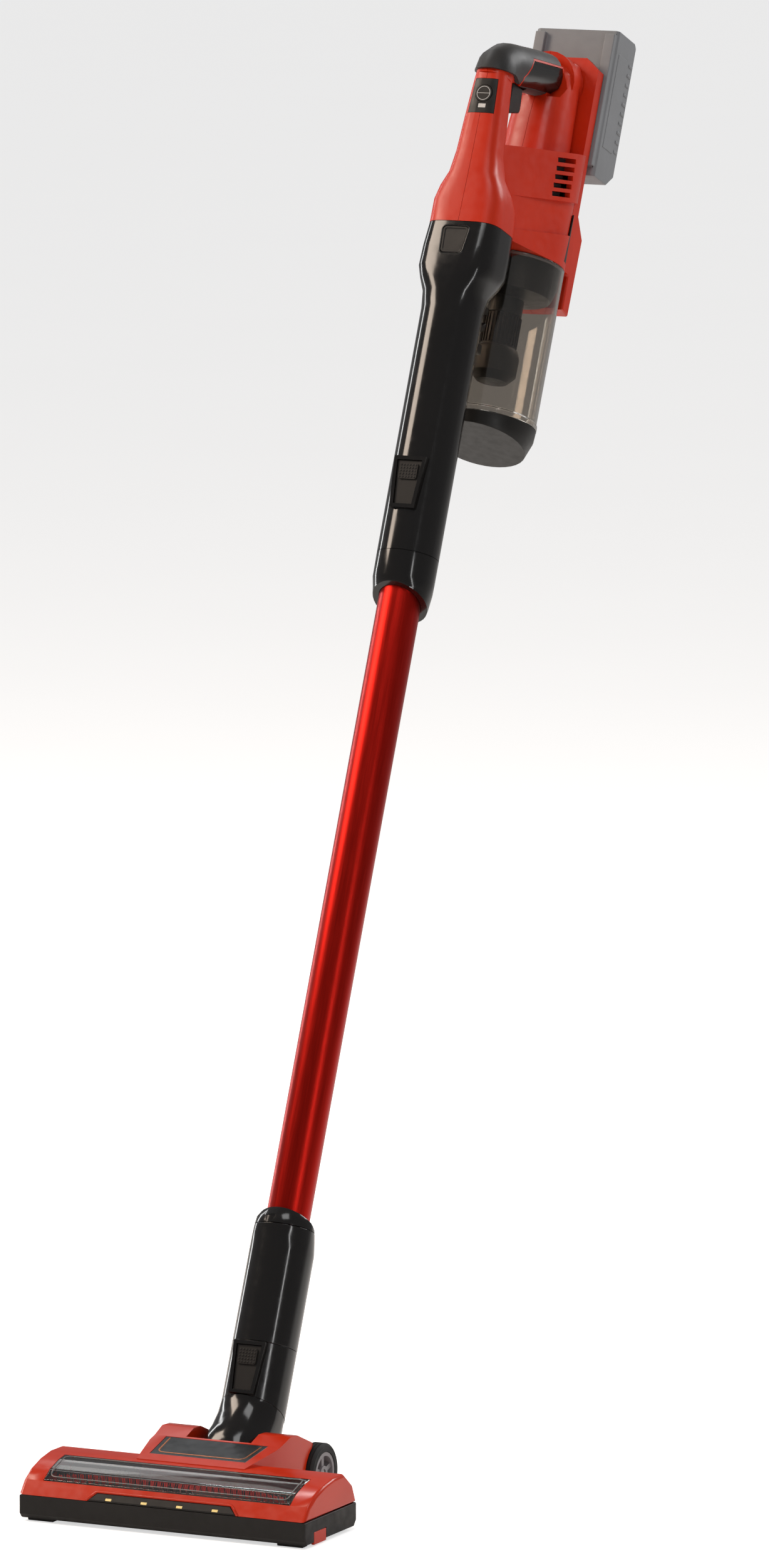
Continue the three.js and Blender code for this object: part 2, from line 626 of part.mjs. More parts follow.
// ---------------------------------------------------------------- hand unit
const ARM = [
  { t: SEAM + 0.2, half: 31, front: -19, back: 34, square: 4 },
  { t: 1050, half: 31, front: -18, back: 30, square: 4 },
  { t: 1062, half: 27.6, front: -17.2, back: 24, square: 3.8 },
  { t: 1074, half: 21.5, front: -16.5, back: 18, square: 3.6 },
  { t: 1092, half: 18.4, front: -15.8, back: 13.5, square: 3.4 },
  { t: 1120, half: 16.6, front: -15, back: 12, square: 3.4 },
  { t: 1148, half: 14.6, front: -14.4, back: 12, square: 3.2 },
  { t: ARM_TOP, half: 13.6, front: -14, back: 12, square: 3 },
];

const GRIP_PATH = [
  [-0.6, 1156], [0.6, 1163], [10, 1171.5], [34, 1178], [62, 1184.5], [90, 1190], [118, 1194],
];

/** The motor housing's plan: a round back that narrows towards the arm. */
function housingOutline(radius) {
  const points = [];
  for (let i = 0; i <= 24; i += 1) {
    const angle = THREE.MathUtils.degToRad(-22 + (224 * i) / 24);
    points.push([radius * Math.cos(angle), BIN.y + radius * Math.sin(angle)]);
  }
  return points.concat([[-24, 20], [-17, 2], [17, 2], [24, 20]]);
}

function motorHousing() {
  const band = cut(prismZ(housingOutline(42.6), SEAM + 0.2, 1110), above(1033, SLANT));
  const lower = join(band, cut(prismZ(housingOutline(40.9), SEAM + 0.2, 1110), above(1062, SLANT)));
  const upper = cut(prismZ(housingOutline(43.4), SEAM + 20, 1150), above(1102, SLANT), below(1061, SLANT));
  return cut(join(lower, upper), box(-60, 60, TOWER.back, 200, 1108, 1300));
}

function tower() {
  const nose = loft([
    { t: 1095, half: 27, front: 68, back: 124, square: 2.6 },
    { t: 1150, half: 25, front: 74, back: 124, square: 2.6 },
    { t: 1192, half: 23, front: 82, back: 124, square: 2.6 },
    { t: 1206, half: 19, front: 96, back: 124, square: 2.6 },
  ]);
  const { half, front, back, top } = TOWER;
  const plateOutline = [[-half, 1034], [half, 1034], [half, top - 10], [half - 12, top], [12 - half, top],
    [-half, top - 10]];
  const plate = prismY(plateOutline, front, back);
  const boss = solid(new THREE.CylinderGeometry(22.5, 24.5, 22, 24).translate(0, 107, 0)
    .rotateX(THREE.MathUtils.degToRad(9)).translate(0, 0, 1173));
  return join(nose, plate, boss);
}

function tail() {
  const outline = [[128, 1040], [136.2, 1034], [136.2, 1006], [149, 1004], [151, 1070], [128.5, 1094]];
  return prismX(outline, -30, 30, 2);
}

function housingHollow() {
  const motorRoom = turned(disc(38.8, 1000, 1108), BIN.y, 36);
  const armRoom = loft(ARM.slice(1, 7).map((s) => (
    { ...s, half: s.half - 3.4, front: s.front + 5, back: s.back - 3 })), 24);
  const towerRoom = box(-14, 14, 95, 125.6, 1112, 1165);
  const throat = box(-9, 9, 10, 60, 1042, 1058);
  return join(motorRoom, armRoom, towerRoom, throat);
}

function ventSlots(side) {
  const slots = [];
  for (let i = 0; i < 5; i += 1) {
    const slot = new THREE.BoxGeometry(16, 22, 4).translate(side * 40, 0, 0);
    slot.rotateX(Math.atan(SLANT)).translate(0, 76, 1085.5 + 7.2 * i);
    slots.push(solid(slot));
  }
  return join(...slots);
}

const gripBar = (shrink) => bentBar(GRIP_PATH, GRIP.half - shrink, GRIP.height - shrink);

function panelPrism(grow) {
  return prismY(taperedOutline(PANEL.bottom, PANEL.top, PANEL.lowHalf - 1.6, PANEL.highHalf - 0.6, grow),
    -40, -12.6 + grow);
}

function triggerPrism(grow, top) {
  return box(-7 - grow, 7 + grow, 21 - grow, 43 + grow, 1100, top);
}

/** The dark insert on one side of the grip: a window through the soft cover, along the bar. */
function insertPrism(side, grow) {
  const outline = [[30 - grow, 1159], [24 - grow, 1166.5], [33, 1184 + grow], [86 + grow, 1195.5 + grow],
    [90 + grow, 1180], [84 + grow, 1171 - grow]];
  return side > 0 ? prismX(outline, 9, 30) : prismX(outline, -30, -9);
}

/** The raised red frame of the core that shows round an insert, flush with the soft cover. */
function insertFrame(side) {
  return gripBar(0).intersect(insertPrism(side, GAP + 2));
}

function sidePlate(side, grow) {
  const band = turned(ring(42.5 + grow, 41.2 - grow, 1000, 1130), BIN.y, 72);
  const outline = [[100 - grow, 1036.5 - grow], [122 + grow, 1036.5 - grow], [129 + grow, 1078 + grow],
    [107 - grow, 1078 + grow]];
  const slice = side > 0 ? prismX(outline, 0, 60) : prismX(outline, -60, 0);
  return band.intersect(slice);
}

function housing() {
  const arm = loft(ARM);
  const ahead = prismX([[-30, 1100], [9, 1100], [9, 1230], [-30, 1230]], -40, 40);
  const collar = cut(gripBar(0), below(1161.6, 0.05), ahead);
  const core = join(gripBar(GRIP.skin), collar.intersect(box(-40, 40, 97, 140, 1100, 1300)),
    insertFrame(1), insertFrame(-1));
  const shell = join(arm, motorHousing(), tower(), tail(), core);
  const solidHousing = cut(shell, housingHollow(), ventSlots(1), ventSlots(-1), panelPrism(GAP),
    triggerPrism(GAP, 1168), insertPrism(1, GAP), insertPrism(-1, GAP),
    sidePlate(1, GAP), sidePlate(-1, GAP), modeDisc(MODE_BUTTON.radius + GAP, 6));
  return solidHousing;
}

/** One moulded half of the housing, on one side of the centre seam. */
function housingHalf(whole, side) {
  const half = side > 0 ? box(0.15, 90, -60, 200, 900, 1300) : box(-90, -0.15, -60, 200, 900, 1300);
  return whole.intersect(half);
}

function gripCover() {
  const outer = cut(gripBar(0), below(ARM_TOP + 0.4));
  return cut(outer, gripBar(GRIP.skin - GAP), insertPrism(1, 2 * GAP + 2), insertPrism(-1, 2 * GAP + 2),
    triggerPrism(GAP + 1, 1185), box(-40, 40, 84.5, 150, 1100, 1300), loft(ARM), tower());
}

function gripInsert(side) {
  const shell = cut(gripBar(0.4), gripBar(3.6));
  return shell.intersect(insertPrism(side, 0));
}

function controlPanel() {
  const plate = panelPrism(0).intersect(loft(ARM));
  return cut(plate, modeDisc(MODE_BUTTON.radius + GAP, 40), lightPrism(GAP));
}

function modeDisc(radius, depth) {
  return solid(new THREE.CylinderGeometry(radius, radius, depth, 24).translate(0, -13.95, MODE_BUTTON.t));
}

function lightPrism(grow) {
  return box(-3.4 - grow, 3.4 + grow, -40, -10, 1127.8 - grow, 1131.4 + grow);
}

function statusLight() {
  return box(-3.4, 3.4, -14.3, -12.8, 1127.8, 1131.4);
}

function trigger() {
  const outline = [[21.6, 1139], [24, 1136], [42, 1142], [42.6, 1146], [41, 1162], [21.4, 1162]];
  return prismX(outline, -6.8, 6.8, 1.2);
}

function motorFan() {
  const profile = [
    [0, 1053], [6, 1053], [8, 1056], [28, 1058], [28, 1060], [3, 1060], [3, 1064.6], [0, 1064.6],
  ];
  return turned(profile, BIN.y);
}

function motorBody() {
  const profile = [
    [0, 1066.4], [4, 1066.4], [4, 1065.6], [26, 1065.6], [31, 1069], [31, 1100], [24, 1106], [0, 1106],
  ];
  return turned(profile, BIN.y);
}

function batteryRail() {
  const { half, bottom, top, flange } = RAIL;
  const face = TOWER.back + GAP;
  const web = box(-half + 4, half - 4, face, face + 2.4, bottom, top);
  const lip = box(-half, half, face + 2.3, face + 2.3 + flange - 1, bottom, top);
  return join(web, lip);
}

function batteryPack() {
  const { half, front, back, bottom, top } = BATTERY;
  const outline = [
    [-half, front + 2], [-half + 3, front], [half - 3, front], [half, front + 2], [half, back - 8],
    [half - 7, back], [-half + 7, back], [-half, back - 8],
  ];
  const block = cut(prismZ(outline, bottom, top), above(top + 168, -1), below(bottom - 144, 0.9));
  const cheek = (a, b) => box(a, b, 130.2, front + 2, bottom + 8, top - 4);
  const latchRoom = box(-12.4, 12.4, back - 6, back + 20, top - 27, top - 13);
  return cut(join(block, cheek(-36, -27), cheek(27, 36)), latchRoom);
}

function batteryLatch() {
  const { back, top } = BATTERY;
  return box(-12, 12, back - 3.4, back - 0.4, top - 26.6, top - 13.4);
}

function buildStick() {
  addPart(stick, 'neck_elbow', neckElbow(), 'glossBlack');
  addPart(stick, 'lower_socket', lowerSocket(), 'glossBlack');
  addPart(stick, 'lower_sleeve', sleeve(), 'glossBlack');
  addPart(stick, 'sleeve_cap', sleeveCap(), 'glossBlack');
  addPart(stick, 'lower_release_button', releaseButton(LOWER_RELEASE_TOP - 1.5), 'satinBlack');
  const { radius, wall, bottom, top } = TUBE;
  addPart(stick, 'wand_tube', turned(ring(radius, radius - wall, bottom, top), 0, 36), 'anodisedRed');
  addPart(stick, 'pipe_collar', pipeCollar(), 'glossBlack');
  addPart(stick, 'intake_pipe', intakePipe(), 'glossBlack');
  addPart(stick, 'upper_release_button', releaseButton(UPPER_RELEASE_TOP), 'satinBlack');
  addPart(stick, 'dust_unit_button', squareButton(), 'satinBlack');
}

function buildDustUnit() {
  addPart(stick, 'dust_bin', dustBin(), 'clear');
  addPart(stick, 'bin_lid', binLid(), 'darkGrey');
  addPart(stick, 'bin_lever', binLever(), 'glossBlack');
  addPart(stick, 'cyclone_insert', cycloneInsert(), 'darkGrey');
  addPart(stick, 'cyclone_shroud', cycloneShroud(), 'satinBlack');
  addPart(stick, 'filter_frame', filterFrame(), 'grey');
  addPart(stick, 'filter_pleats', filterPleats(), 'filterWhite');
  addPart(stick, 'filter_end_cap', filterCap(), 'satinBlack');
}

function buildHandUnit() {
  const whole = housing();
  addPart(stick, 'housing_right', housingHalf(whole, 1), 'red');
  addPart(stick, 'housing_left', housingHalf(whole, -1), 'red');
  addPart(stick, 'grip_cover', gripCover(), 'softBlack');
  for (const [label, side] of [['left', -1], ['right', 1]]) {
    addPart(stick, `grip_insert_${label}`, gripInsert(side), 'glossBlack');
    addPart(stick, `side_plate_${label}`, sidePlate(side, 0), 'satinBlack');
  }
  addPart(stick, 'control_panel', controlPanel(), 'darkGrey');
  addPart(stick, 'mode_button', modeDisc(MODE_BUTTON.radius, 1.9), 'satinBlack');
  addPart(stick, 'status_light', statusLight(), 'light');
  addPart(stick, 'trigger', trigger(), 'satinBlack');
  addPart(stick, 'motor_fan', motorFan(), 'grey');
  addPart(stick, 'motor_body', motorBody(), 'steel');
  addPart(stick, 'battery_rail', batteryRail(), 'satinBlack');
  addPart(stick, 'battery_pack', batteryPack(), 'grey');
  addPart(stick, 'battery_latch', batteryLatch(), 'satinBlack');
}

buildHead();
buildStick();
buildDustUnit();
buildHandUnit();

export default vacuum;
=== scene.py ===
# %% [markdown]
# # A cordless stick vacuum cleaner
# The vacuum stands on its floor head and leans back as if a hand held it by the loop handle. The
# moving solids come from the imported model, and this script gives them their looks: soft moulded
# edges, real finishes, and the small parts that a plain solid leaves out, such as bristles, pleats
# and screws.
#
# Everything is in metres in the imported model's frame: the floor is Z = 0 and the head faces -Y.

# %% Load the frame
import bpy
import bmesh
import json
import math
import random
from mathutils import Matrix, Vector


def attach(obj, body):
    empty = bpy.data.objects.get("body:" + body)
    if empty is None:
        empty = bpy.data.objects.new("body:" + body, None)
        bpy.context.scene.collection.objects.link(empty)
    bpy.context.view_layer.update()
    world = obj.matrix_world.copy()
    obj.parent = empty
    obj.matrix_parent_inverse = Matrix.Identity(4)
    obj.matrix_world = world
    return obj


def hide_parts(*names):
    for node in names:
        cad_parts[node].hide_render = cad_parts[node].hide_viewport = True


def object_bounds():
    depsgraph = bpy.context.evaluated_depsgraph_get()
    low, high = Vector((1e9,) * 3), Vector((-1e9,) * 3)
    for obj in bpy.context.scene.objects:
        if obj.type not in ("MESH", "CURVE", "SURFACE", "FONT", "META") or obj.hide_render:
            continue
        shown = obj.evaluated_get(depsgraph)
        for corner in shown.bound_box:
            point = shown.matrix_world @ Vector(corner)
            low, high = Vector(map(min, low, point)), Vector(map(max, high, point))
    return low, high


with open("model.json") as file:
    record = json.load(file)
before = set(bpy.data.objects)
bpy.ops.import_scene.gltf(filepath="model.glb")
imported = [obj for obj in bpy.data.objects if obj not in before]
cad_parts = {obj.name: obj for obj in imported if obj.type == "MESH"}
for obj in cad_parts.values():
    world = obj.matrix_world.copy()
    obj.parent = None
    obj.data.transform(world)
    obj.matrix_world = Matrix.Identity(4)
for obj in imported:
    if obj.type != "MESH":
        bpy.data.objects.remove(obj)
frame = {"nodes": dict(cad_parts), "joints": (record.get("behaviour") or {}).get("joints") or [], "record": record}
cad_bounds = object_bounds()
print("CAD box:", [round(v, 4) for corner in cad_bounds for v in corner])

# %% [markdown]
# ## Two drawing boards
# The head lies flat on the floor, but everything above it leans. A designer would draw the stick
# upright and tilt the finished thing, so there are two local frames in millimetres: `HEAD`, whose Y
# starts at the head's front edge, and `STICK`, whose Z runs up the stick from the tilt hinge. The
# hinge and the lean are read from the joints, so they can't drift away from the moving model.

# %% Local frames
joints = {joint["name"]: joint for joint in frame["joints"]}
hinge = Vector(joints["head_tilt"]["pos_m"])
up_stick = -Vector(joints["wand_slide"]["axis"]).normalized()
lean = math.atan2(up_stick.y, up_stick.z)
millimetre = Matrix.Scale(0.001, 4)
STICK = Matrix.Translation(hinge) @ Matrix.Rotation(-lean, 4, "X") @ millimetre
HEAD = Matrix.Translation((0, cad_bounds[0].y, 0)) @ millimetre
print("lean", round(math.degrees(lean), 2), "degrees, hinge at", [round(v, 4) for v in hinge])

# %% [markdown]
# ## Colour and nodes
# Designers give colours as sRGB hex values, but shaders add light, so each value is turned to linear
# first. One small function adds a node: its settings are properties or unlinked sockets, and its
# links are the outputs that feed it.

# %% Colour and node helpers
def linear(hex_colour):
    """An sRGB hex colour as the linear RGBA that a shader works in."""
    channels = [int(hex_colour[i:i + 2], 16) / 255 for i in (1, 3, 5)]
    return tuple(c / 12.92 if c <= 0.04045 else ((c + 0.055) / 1.055) ** 2.4 for c in channels) + (1.0,)


def add(tree, kind, settings=None, links=None):
    """Add a node, then set its properties and sockets and link its inputs."""
    node = tree.nodes.new(kind)
    for key, value in (settings or {}).items():
        if isinstance(key, str) and key in node.bl_rna.properties:
            setattr(node, key, value)
        else:
            node.inputs[key].default_value = value
    for key, source in (links or {}).items():
        tree.links.new(source, node.inputs[key])
    return node


def new_material(name):
    """An empty node material and its tree, with the output node in place."""
    material = bpy.data.materials.new(name)
    material.use_nodes = True
    material.node_tree.nodes.clear()
    return material, material.node_tree


def finish_shader(tree, shader):
    output = add(tree, "ShaderNodeOutputMaterial", links={"Surface": shader.outputs["BSDF"]})
    return output


# %% [markdown]
# ## Moulded plastic
# Most of the vacuum is ABS, moulded in polished or spark-eroded steel. Up close such a part is never
# one colour: pigment and flow make it a little uneven over a few centimetres, handling leaves the
# gloss a little uneven too, and the mould leaves a fine grain. So one recipe mixes two near colours
# with a wide noise, varies the roughness with a second one, and adds a grain as bump. ABS has an
# index of refraction of about 1.53.

# %% Recipe for moulded plastic
def moulded(name, deep, pale, rough, grain_mm, depth_mm, ior=1.53, patch_mm=45.0, coat=0.0, sheen=0.0,
            gleam=0.5):
    """Moulded plastic: two near colours, a range of roughness, and a grain of the given size."""
    material, tree = new_material(name)
    place = add(tree, "ShaderNodeTexCoord").outputs["Object"]
    patches = add(tree, "ShaderNodeTexNoise", {"Scale": 1000 / patch_mm, "Detail": 2.0}, {"Vector": place})
    colour = add(tree, "ShaderNodeMix", {"data_type": "RGBA", 6: linear(deep), 7: linear(pale)},
                 {0: patches.outputs["Fac"]})
    wear = add(tree, "ShaderNodeTexNoise", {"Scale": 130.0, "Detail": 4.0}, {"Vector": place})
    gloss = add(tree, "ShaderNodeMapRange", {"From Min": 0.3, "From Max": 0.7, "To Min": rough[0],
                "To Max": rough[1]}, {"Value": wear.outputs["Fac"]})
    grain = add(tree, "ShaderNodeTexNoise", {"Scale": 1000 / grain_mm, "Detail": 2.0}, {"Vector": place})
    bump = add(tree, "ShaderNodeBump", {"Strength": 0.5, "Distance": depth_mm / 1000},
               {"Height": grain.outputs["Fac"]})
    shader = add(tree, "ShaderNodeBsdfPrincipled",
                 {"IOR": ior, "Coat Weight": coat, "Coat Roughness": 0.08, "Sheen Weight": sheen,
                  "Sheen Roughness": 0.5, "Specular IOR Level": gleam},
                 {"Base Color": colour.outputs[2], "Roughness": gloss.outputs["Result"],
                  "Normal": bump.outputs["Normal"]})
    finish_shader(tree, shader)
    return material


# Red ABS from a fine-textured mould: a warm orange-red that keeps a broad, soft highlight.
satin_red = moulded("ABS red, satin moulded", "#bd2409", "#d2310c", (0.28, 0.40), 1.6, 0.006, gleam=0.34)
# Red ABS from a polished mould, as on the head's cover: the same pigment, but sharper highlights.
gloss_red = moulded("ABS red, polished mould", "#c02809", "#d6350d", (0.17, 0.27), 1.8, 0.004, gleam=0.40)
# Black ABS from a polished mould: reads as a dark mirror with warm streaks.
gloss_black = moulded("ABS black, polished mould", "#0d0b0a", "#14110f", (0.10, 0.17), 1.6, 0.005)
# Black ABS from a sand-textured mould: greyer, and it hides scratches on the head's base.
satin_black = moulded("ABS black, sand-textured mould", "#151210", "#1f1b18", (0.42, 0.56), 0.8, 0.02,
                      gleam=0.32)
# Dark grey ABS: the bin's lid, the cyclone's upper part and the control plate.
dark_grey = moulded("ABS dark grey, satin moulded", "#171513", "#1f1d1b", (0.32, 0.44), 0.9, 0.008, gleam=0.28)
# Blue-grey ABS with a polished face: the blank plate on the head.
plate_grey = moulded("ABS slate grey, polished mould", "#25282a", "#303437", (0.14, 0.24), 1.6, 0.004)
# Mid grey glass-filled nylon: the battery's shell, with the dull bloom that glass fibre gives.
battery_grey = moulded("Nylon grey, glass filled", "#77787a", "#86878a", (0.46, 0.62), 0.7, 0.02, 1.54)
# Warm grey ABS: the filter's flange.
warm_grey = moulded("ABS warm grey, satin moulded", "#827c7e", "#938d8f", (0.34, 0.46), 0.9, 0.015)
# Vulcanised rubber: nearly black, and almost without gloss.
rubber = moulded("Rubber black, moulded", "#141313", "#201f1e", (0.62, 0.78), 0.9, 0.04, 1.52)
print("plastics:", satin_red.name, gloss_red.name, gloss_black.name, satin_black.name)

# %% [markdown]
# ## Soft grip
# The grip is a thermoplastic elastomer moulded over the red core, with a fine leather-like grain
# that stops a hand from slipping. Voronoi cells, about 1.2 mm across so that they show, give the
# pebbles, and a little sheen gives the dusty edge that soft plastics have.

# %% Grip material
def pebbled(name, deep, pale, cell_mm, depth_mm):
    """Soft overmoulded plastic with a pebble grain."""
    material, tree = new_material(name)
    place = add(tree, "ShaderNodeTexCoord").outputs["Object"]
    pebbles = add(tree, "ShaderNodeTexVoronoi", {"Scale": 1000 / cell_mm, "feature": "F1"}, {"Vector": place})
    patches = add(tree, "ShaderNodeTexNoise", {"Scale": 60.0, "Detail": 3.0}, {"Vector": place})
    colour = add(tree, "ShaderNodeMix", {"data_type": "RGBA", 6: linear(deep), 7: linear(pale)},
                 {0: patches.outputs["Fac"]})
    gloss = add(tree, "ShaderNodeMapRange", {"From Min": 0.3, "From Max": 0.7, "To Min": 0.42, "To Max": 0.56},
                {"Value": patches.outputs["Fac"]})
    bump = add(tree, "ShaderNodeBump", {"Strength": 0.6, "Distance": depth_mm / 1000, "invert": True},
               {"Height": pebbles.outputs["Distance"]})
    shader = add(tree, "ShaderNodeBsdfPrincipled", {"IOR": 1.5, "Sheen Weight": 0.15, "Sheen Roughness": 0.4},
                 {"Base Color": colour.outputs[2], "Roughness": gloss.outputs["Result"],
                  "Normal": bump.outputs["Normal"]})
    finish_shader(tree, shader)
    return material


soft_grip = pebbled("TPE black, overmoulded", "#0f0d0c", "#1a1715", 1.2, 0.05)

# %% [markdown]
# ## Clear polycarbonate
# The bin and the brush window are clear polycarbonate with a slight smoke tint, index 1.585. Full
# transmission with the wall's real thickness bends what is behind it as the real wall does. A faint
# uneven roughness stands for the haze that dust soon leaves.

# %% Clear material
def clear_plastic(name, tint, rough):
    material, tree = new_material(name)
    place = add(tree, "ShaderNodeTexCoord").outputs["Object"]
    haze = add(tree, "ShaderNodeTexNoise", {"Scale": 45.0, "Detail": 5.0}, {"Vector": place})
    gloss = add(tree, "ShaderNodeMapRange", {"From Min": 0.35, "From Max": 0.75, "To Min": rough[0],
                "To Max": rough[1]}, {"Value": haze.outputs["Fac"]})
    shader = add(tree, "ShaderNodeBsdfPrincipled",
                 {"Base Color": linear(tint), "Transmission Weight": 1.0, "IOR": 1.585},
                 {"Roughness": gloss.outputs["Result"]})
    lit_through = add(tree, "ShaderNodeBsdfTransparent", {"Color": linear(tint)})
    ray = add(tree, "ShaderNodeLightPath")
    both = add(tree, "ShaderNodeMixShader", links={0: ray.outputs["Is Shadow Ray"],
               1: shader.outputs["BSDF"], 2: lit_through.outputs["BSDF"]})
    add(tree, "ShaderNodeOutputMaterial", links={"Surface": both.outputs["Shader"]})
    return material


smoke_clear = clear_plastic("Polycarbonate, smoke clear", "#d6d0c8", (0.01, 0.05))
window_clear = clear_plastic("Polycarbonate, window clear", "#e6e2de", (0.01, 0.06))

# %% [markdown]
# ## Metals
# The wand is an extruded aluminium tube, brushed along its length and anodised red. The dye sits in
# the oxide, so the metal under it still shines through: a metallic surface with a red colour. The
# extrusion marks run along the tube, so the noise is stretched along it with a Mapping node that
# first turns the coordinates upright. Steel parts are ground across instead.

# %% Metal materials
def drawn_metal(name, deep, pale, rough, streak_mm, turn):
    """Metal with fine streaks along the local Z after turning the coordinates about X."""
    material, tree = new_material(name)
    place = add(tree, "ShaderNodeTexCoord").outputs["Object"]
    turned = add(tree, "ShaderNodeMapping", {"Rotation": (turn, 0, 0)}, {"Vector": place})
    squeezed = add(tree, "ShaderNodeMapping", {"Scale": (1, 1, 0.02)}, {"Vector": turned.outputs[0]})
    streaks = add(tree, "ShaderNodeTexNoise", {"Scale": 1000 / streak_mm, "Detail": 3.0},
                  {"Vector": squeezed.outputs[0]})
    colour = add(tree, "ShaderNodeMix", {"data_type": "RGBA", 6: linear(deep), 7: linear(pale)},
                 {0: streaks.outputs["Fac"]})
    gloss = add(tree, "ShaderNodeMapRange", {"From Min": 0.3, "From Max": 0.7, "To Min": rough[0],
                "To Max": rough[1]}, {"Value": streaks.outputs["Fac"]})
    bump = add(tree, "ShaderNodeBump", {"Strength": 0.5, "Distance": 0.00001},
               {"Height": streaks.outputs["Fac"]})
    shader = add(tree, "ShaderNodeBsdfPrincipled", {"Metallic": 1.0},
                 {"Base Color": colour.outputs[2], "Roughness": gloss.outputs["Result"],
                  "Normal": bump.outputs["Normal"]})
    finish_shader(tree, shader)
    return material


anodised_red = drawn_metal("Aluminium, red anodised", "#a81a14", "#bc2219", (0.30, 0.40), 0.6, lean)
ground_steel = drawn_metal("Steel, ground", "#8d8d8f", "#a6a6a8", (0.25, 0.38), 0.5, 0.0)
copper_foil = drawn_metal("Copper, hot foiled", "#c8703f", "#e2946a", (0.30, 0.42), 0.8, 0.0)

# %% [markdown]
# ## Fibres, paper and lamps
# Nylon bristles are nearly translucent threads with a silky highlight. Filter paper is matt and a
# little fibrous. The four lamps in the head sit behind small milky lenses with a warm phosphor, and
# the status lamp is a small pale window.

# %% Fibre, paper and lamp materials
def fibre(name, deep, pale, rough, grain_mm):
    """Thread or paper: matt, with a fibrous colour."""
    material, tree = new_material(name)
    place = add(tree, "ShaderNodeTexCoord").outputs["Object"]
    strands = add(tree, "ShaderNodeTexNoise", {"Scale": 1000 / grain_mm, "Detail": 4.0}, {"Vector": place})
    colour = add(tree, "ShaderNodeMix", {"data_type": "RGBA", 6: linear(deep), 7: linear(pale)},
                 {0: strands.outputs["Fac"]})
    bump = add(tree, "ShaderNodeBump", {"Strength": 0.5, "Distance": 0.00005},
               {"Height": strands.outputs["Fac"]})
    shader = add(tree, "ShaderNodeBsdfPrincipled", {"IOR": 1.53, "Roughness": rough, "Sheen Weight": 0.25},
                 {"Base Color": colour.outputs[2], "Normal": bump.outputs["Normal"]})
    finish_shader(tree, shader)
    return material


def lamp(name, face, glow, strength):
    """A milky lens: bright phosphor in the middle of each patch, and a soft glow."""
    material, tree = new_material(name)
    place = add(tree, "ShaderNodeTexCoord").outputs["Object"]
    speck = add(tree, "ShaderNodeTexNoise", {"Scale": 700.0, "Detail": 1.0}, {"Vector": place})
    colour = add(tree, "ShaderNodeMix", {"data_type": "RGBA", 6: linear(face), 7: linear(glow)},
                 {0: speck.outputs["Fac"]})
    shader = add(tree, "ShaderNodeBsdfPrincipled",
                 {"IOR": 1.5, "Roughness": 0.18, "Emission Strength": strength},
                 {"Base Color": colour.outputs[2], "Emission Color": colour.outputs[2]})
    finish_shader(tree, shader)
    return material


bristle_black = fibre("Nylon bristle, black", "#0f0e0e", "#1c1a19", 0.38, 2.0)
bristle_red = fibre("Nylon bristle, red", "#d81f10", "#ee3420", 0.36, 2.0)
filter_paper = fibre("Filter paper, pleated", "#dedcd8", "#efeeeb", 0.85, 0.6)
# A near-black matt fill for the vent slots: painted shade.
vent_shade_fill = fibre("Vent slot fill, painted shade", "#0c0b0b", "#1b1a1a", 0.9, 1.5)
warm_lamp = lamp("Lamp lens, warm phosphor", "#d9b56a", "#f4dfa0", 0.35)
status_lamp = lamp("Lamp lens, status", "#b9b2ab", "#ddd8d2", 0.12)
# The window's rim is painted in an opaque pale grey with a faint glow: a painted highlight for the bright edges of
# the clear moulding.
rim_painted_highlight = lamp("Window rim, painted highlight and glow", "#6f6a67", "#8d8885", 0.02)
pale_print = fibre("Pad print, pale grey", "#b4b0ac", "#cfccc8", 0.45, 0.8)

# %% [markdown]
# ## Moulded edges
# A solid straight from CAD has knife edges, and nothing moulded has. Each node is copied, its loose
# triangles are joined, flat areas become single faces, and a Bevel modifier rounds every edge that is
# sharper than a curved wall's facets. Weighted normals then keep the flats flat while the round parts
# shade smoothly. The copy stands in for the node, and rides on the same body.

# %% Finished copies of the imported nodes
body_of_node = {}
for body_name, members in frame["record"]["behaviour"]["bodies"].items():
    for member in members:
        body_of_node[member] = body_name
slot_of_node = {part["node"]: part["material_slot"] for part in frame["record"]["subparts"]}


def paint(target, material):
    target.data.materials.clear()
    target.data.materials.append(material)


def seat(piece, body, slot, *replaced):
    """Put a finished piece on its body and hide the nodes that it stands for; the slot is not used."""
    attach(piece, body)
    if replaced:
        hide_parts(*replaced)
    return piece


def soften(piece, bevel_mm, segments=2, angle=32.0):
    """Round the sharp edges of a piece and keep its flats flat."""
    bevel = piece.modifiers.new("Moulded edges", "BEVEL")
    bevel.width = bevel_mm / 1000
    bevel.segments = segments
    bevel.limit_method = "ANGLE"
    bevel.angle_limit = math.radians(angle)
    bevel.use_clamp_overlap = True
    bevel.miter_outer = "MITER_ARC"
    weighted = piece.modifiers.new("Flat flats", "WEIGHTED_NORMAL")
    weighted.keep_sharp = True
    weighted.weight = 60
    return piece


def finished_copy(node, material, bevel_mm, angle=32.0):
    source = frame["nodes"][node]
    mesh = source.data.copy()
    shape = bmesh.new()
    shape.from_mesh(mesh)
    bmesh.ops.remove_doubles(shape, verts=shape.verts, dist=2e-6)
    bmesh.ops.dissolve_limit(shape, angle_limit=math.radians(0.4), verts=shape.verts, edges=shape.edges,
                             use_dissolve_boundaries=False)
    bmesh.ops.recalc_face_normals(shape, faces=shape.faces)
    for face in shape.faces:
        face.smooth = True
    shape.to_mesh(mesh)
    shape.free()
    piece = bpy.data.objects.new(f"{node}_moulded", mesh)
    bpy.context.scene.collection.objects.link(piece)
    paint(piece, material)
    soften(piece, bevel_mm, angle=angle)
    return seat(piece, body_of_node[node], slot_of_node[node], node)


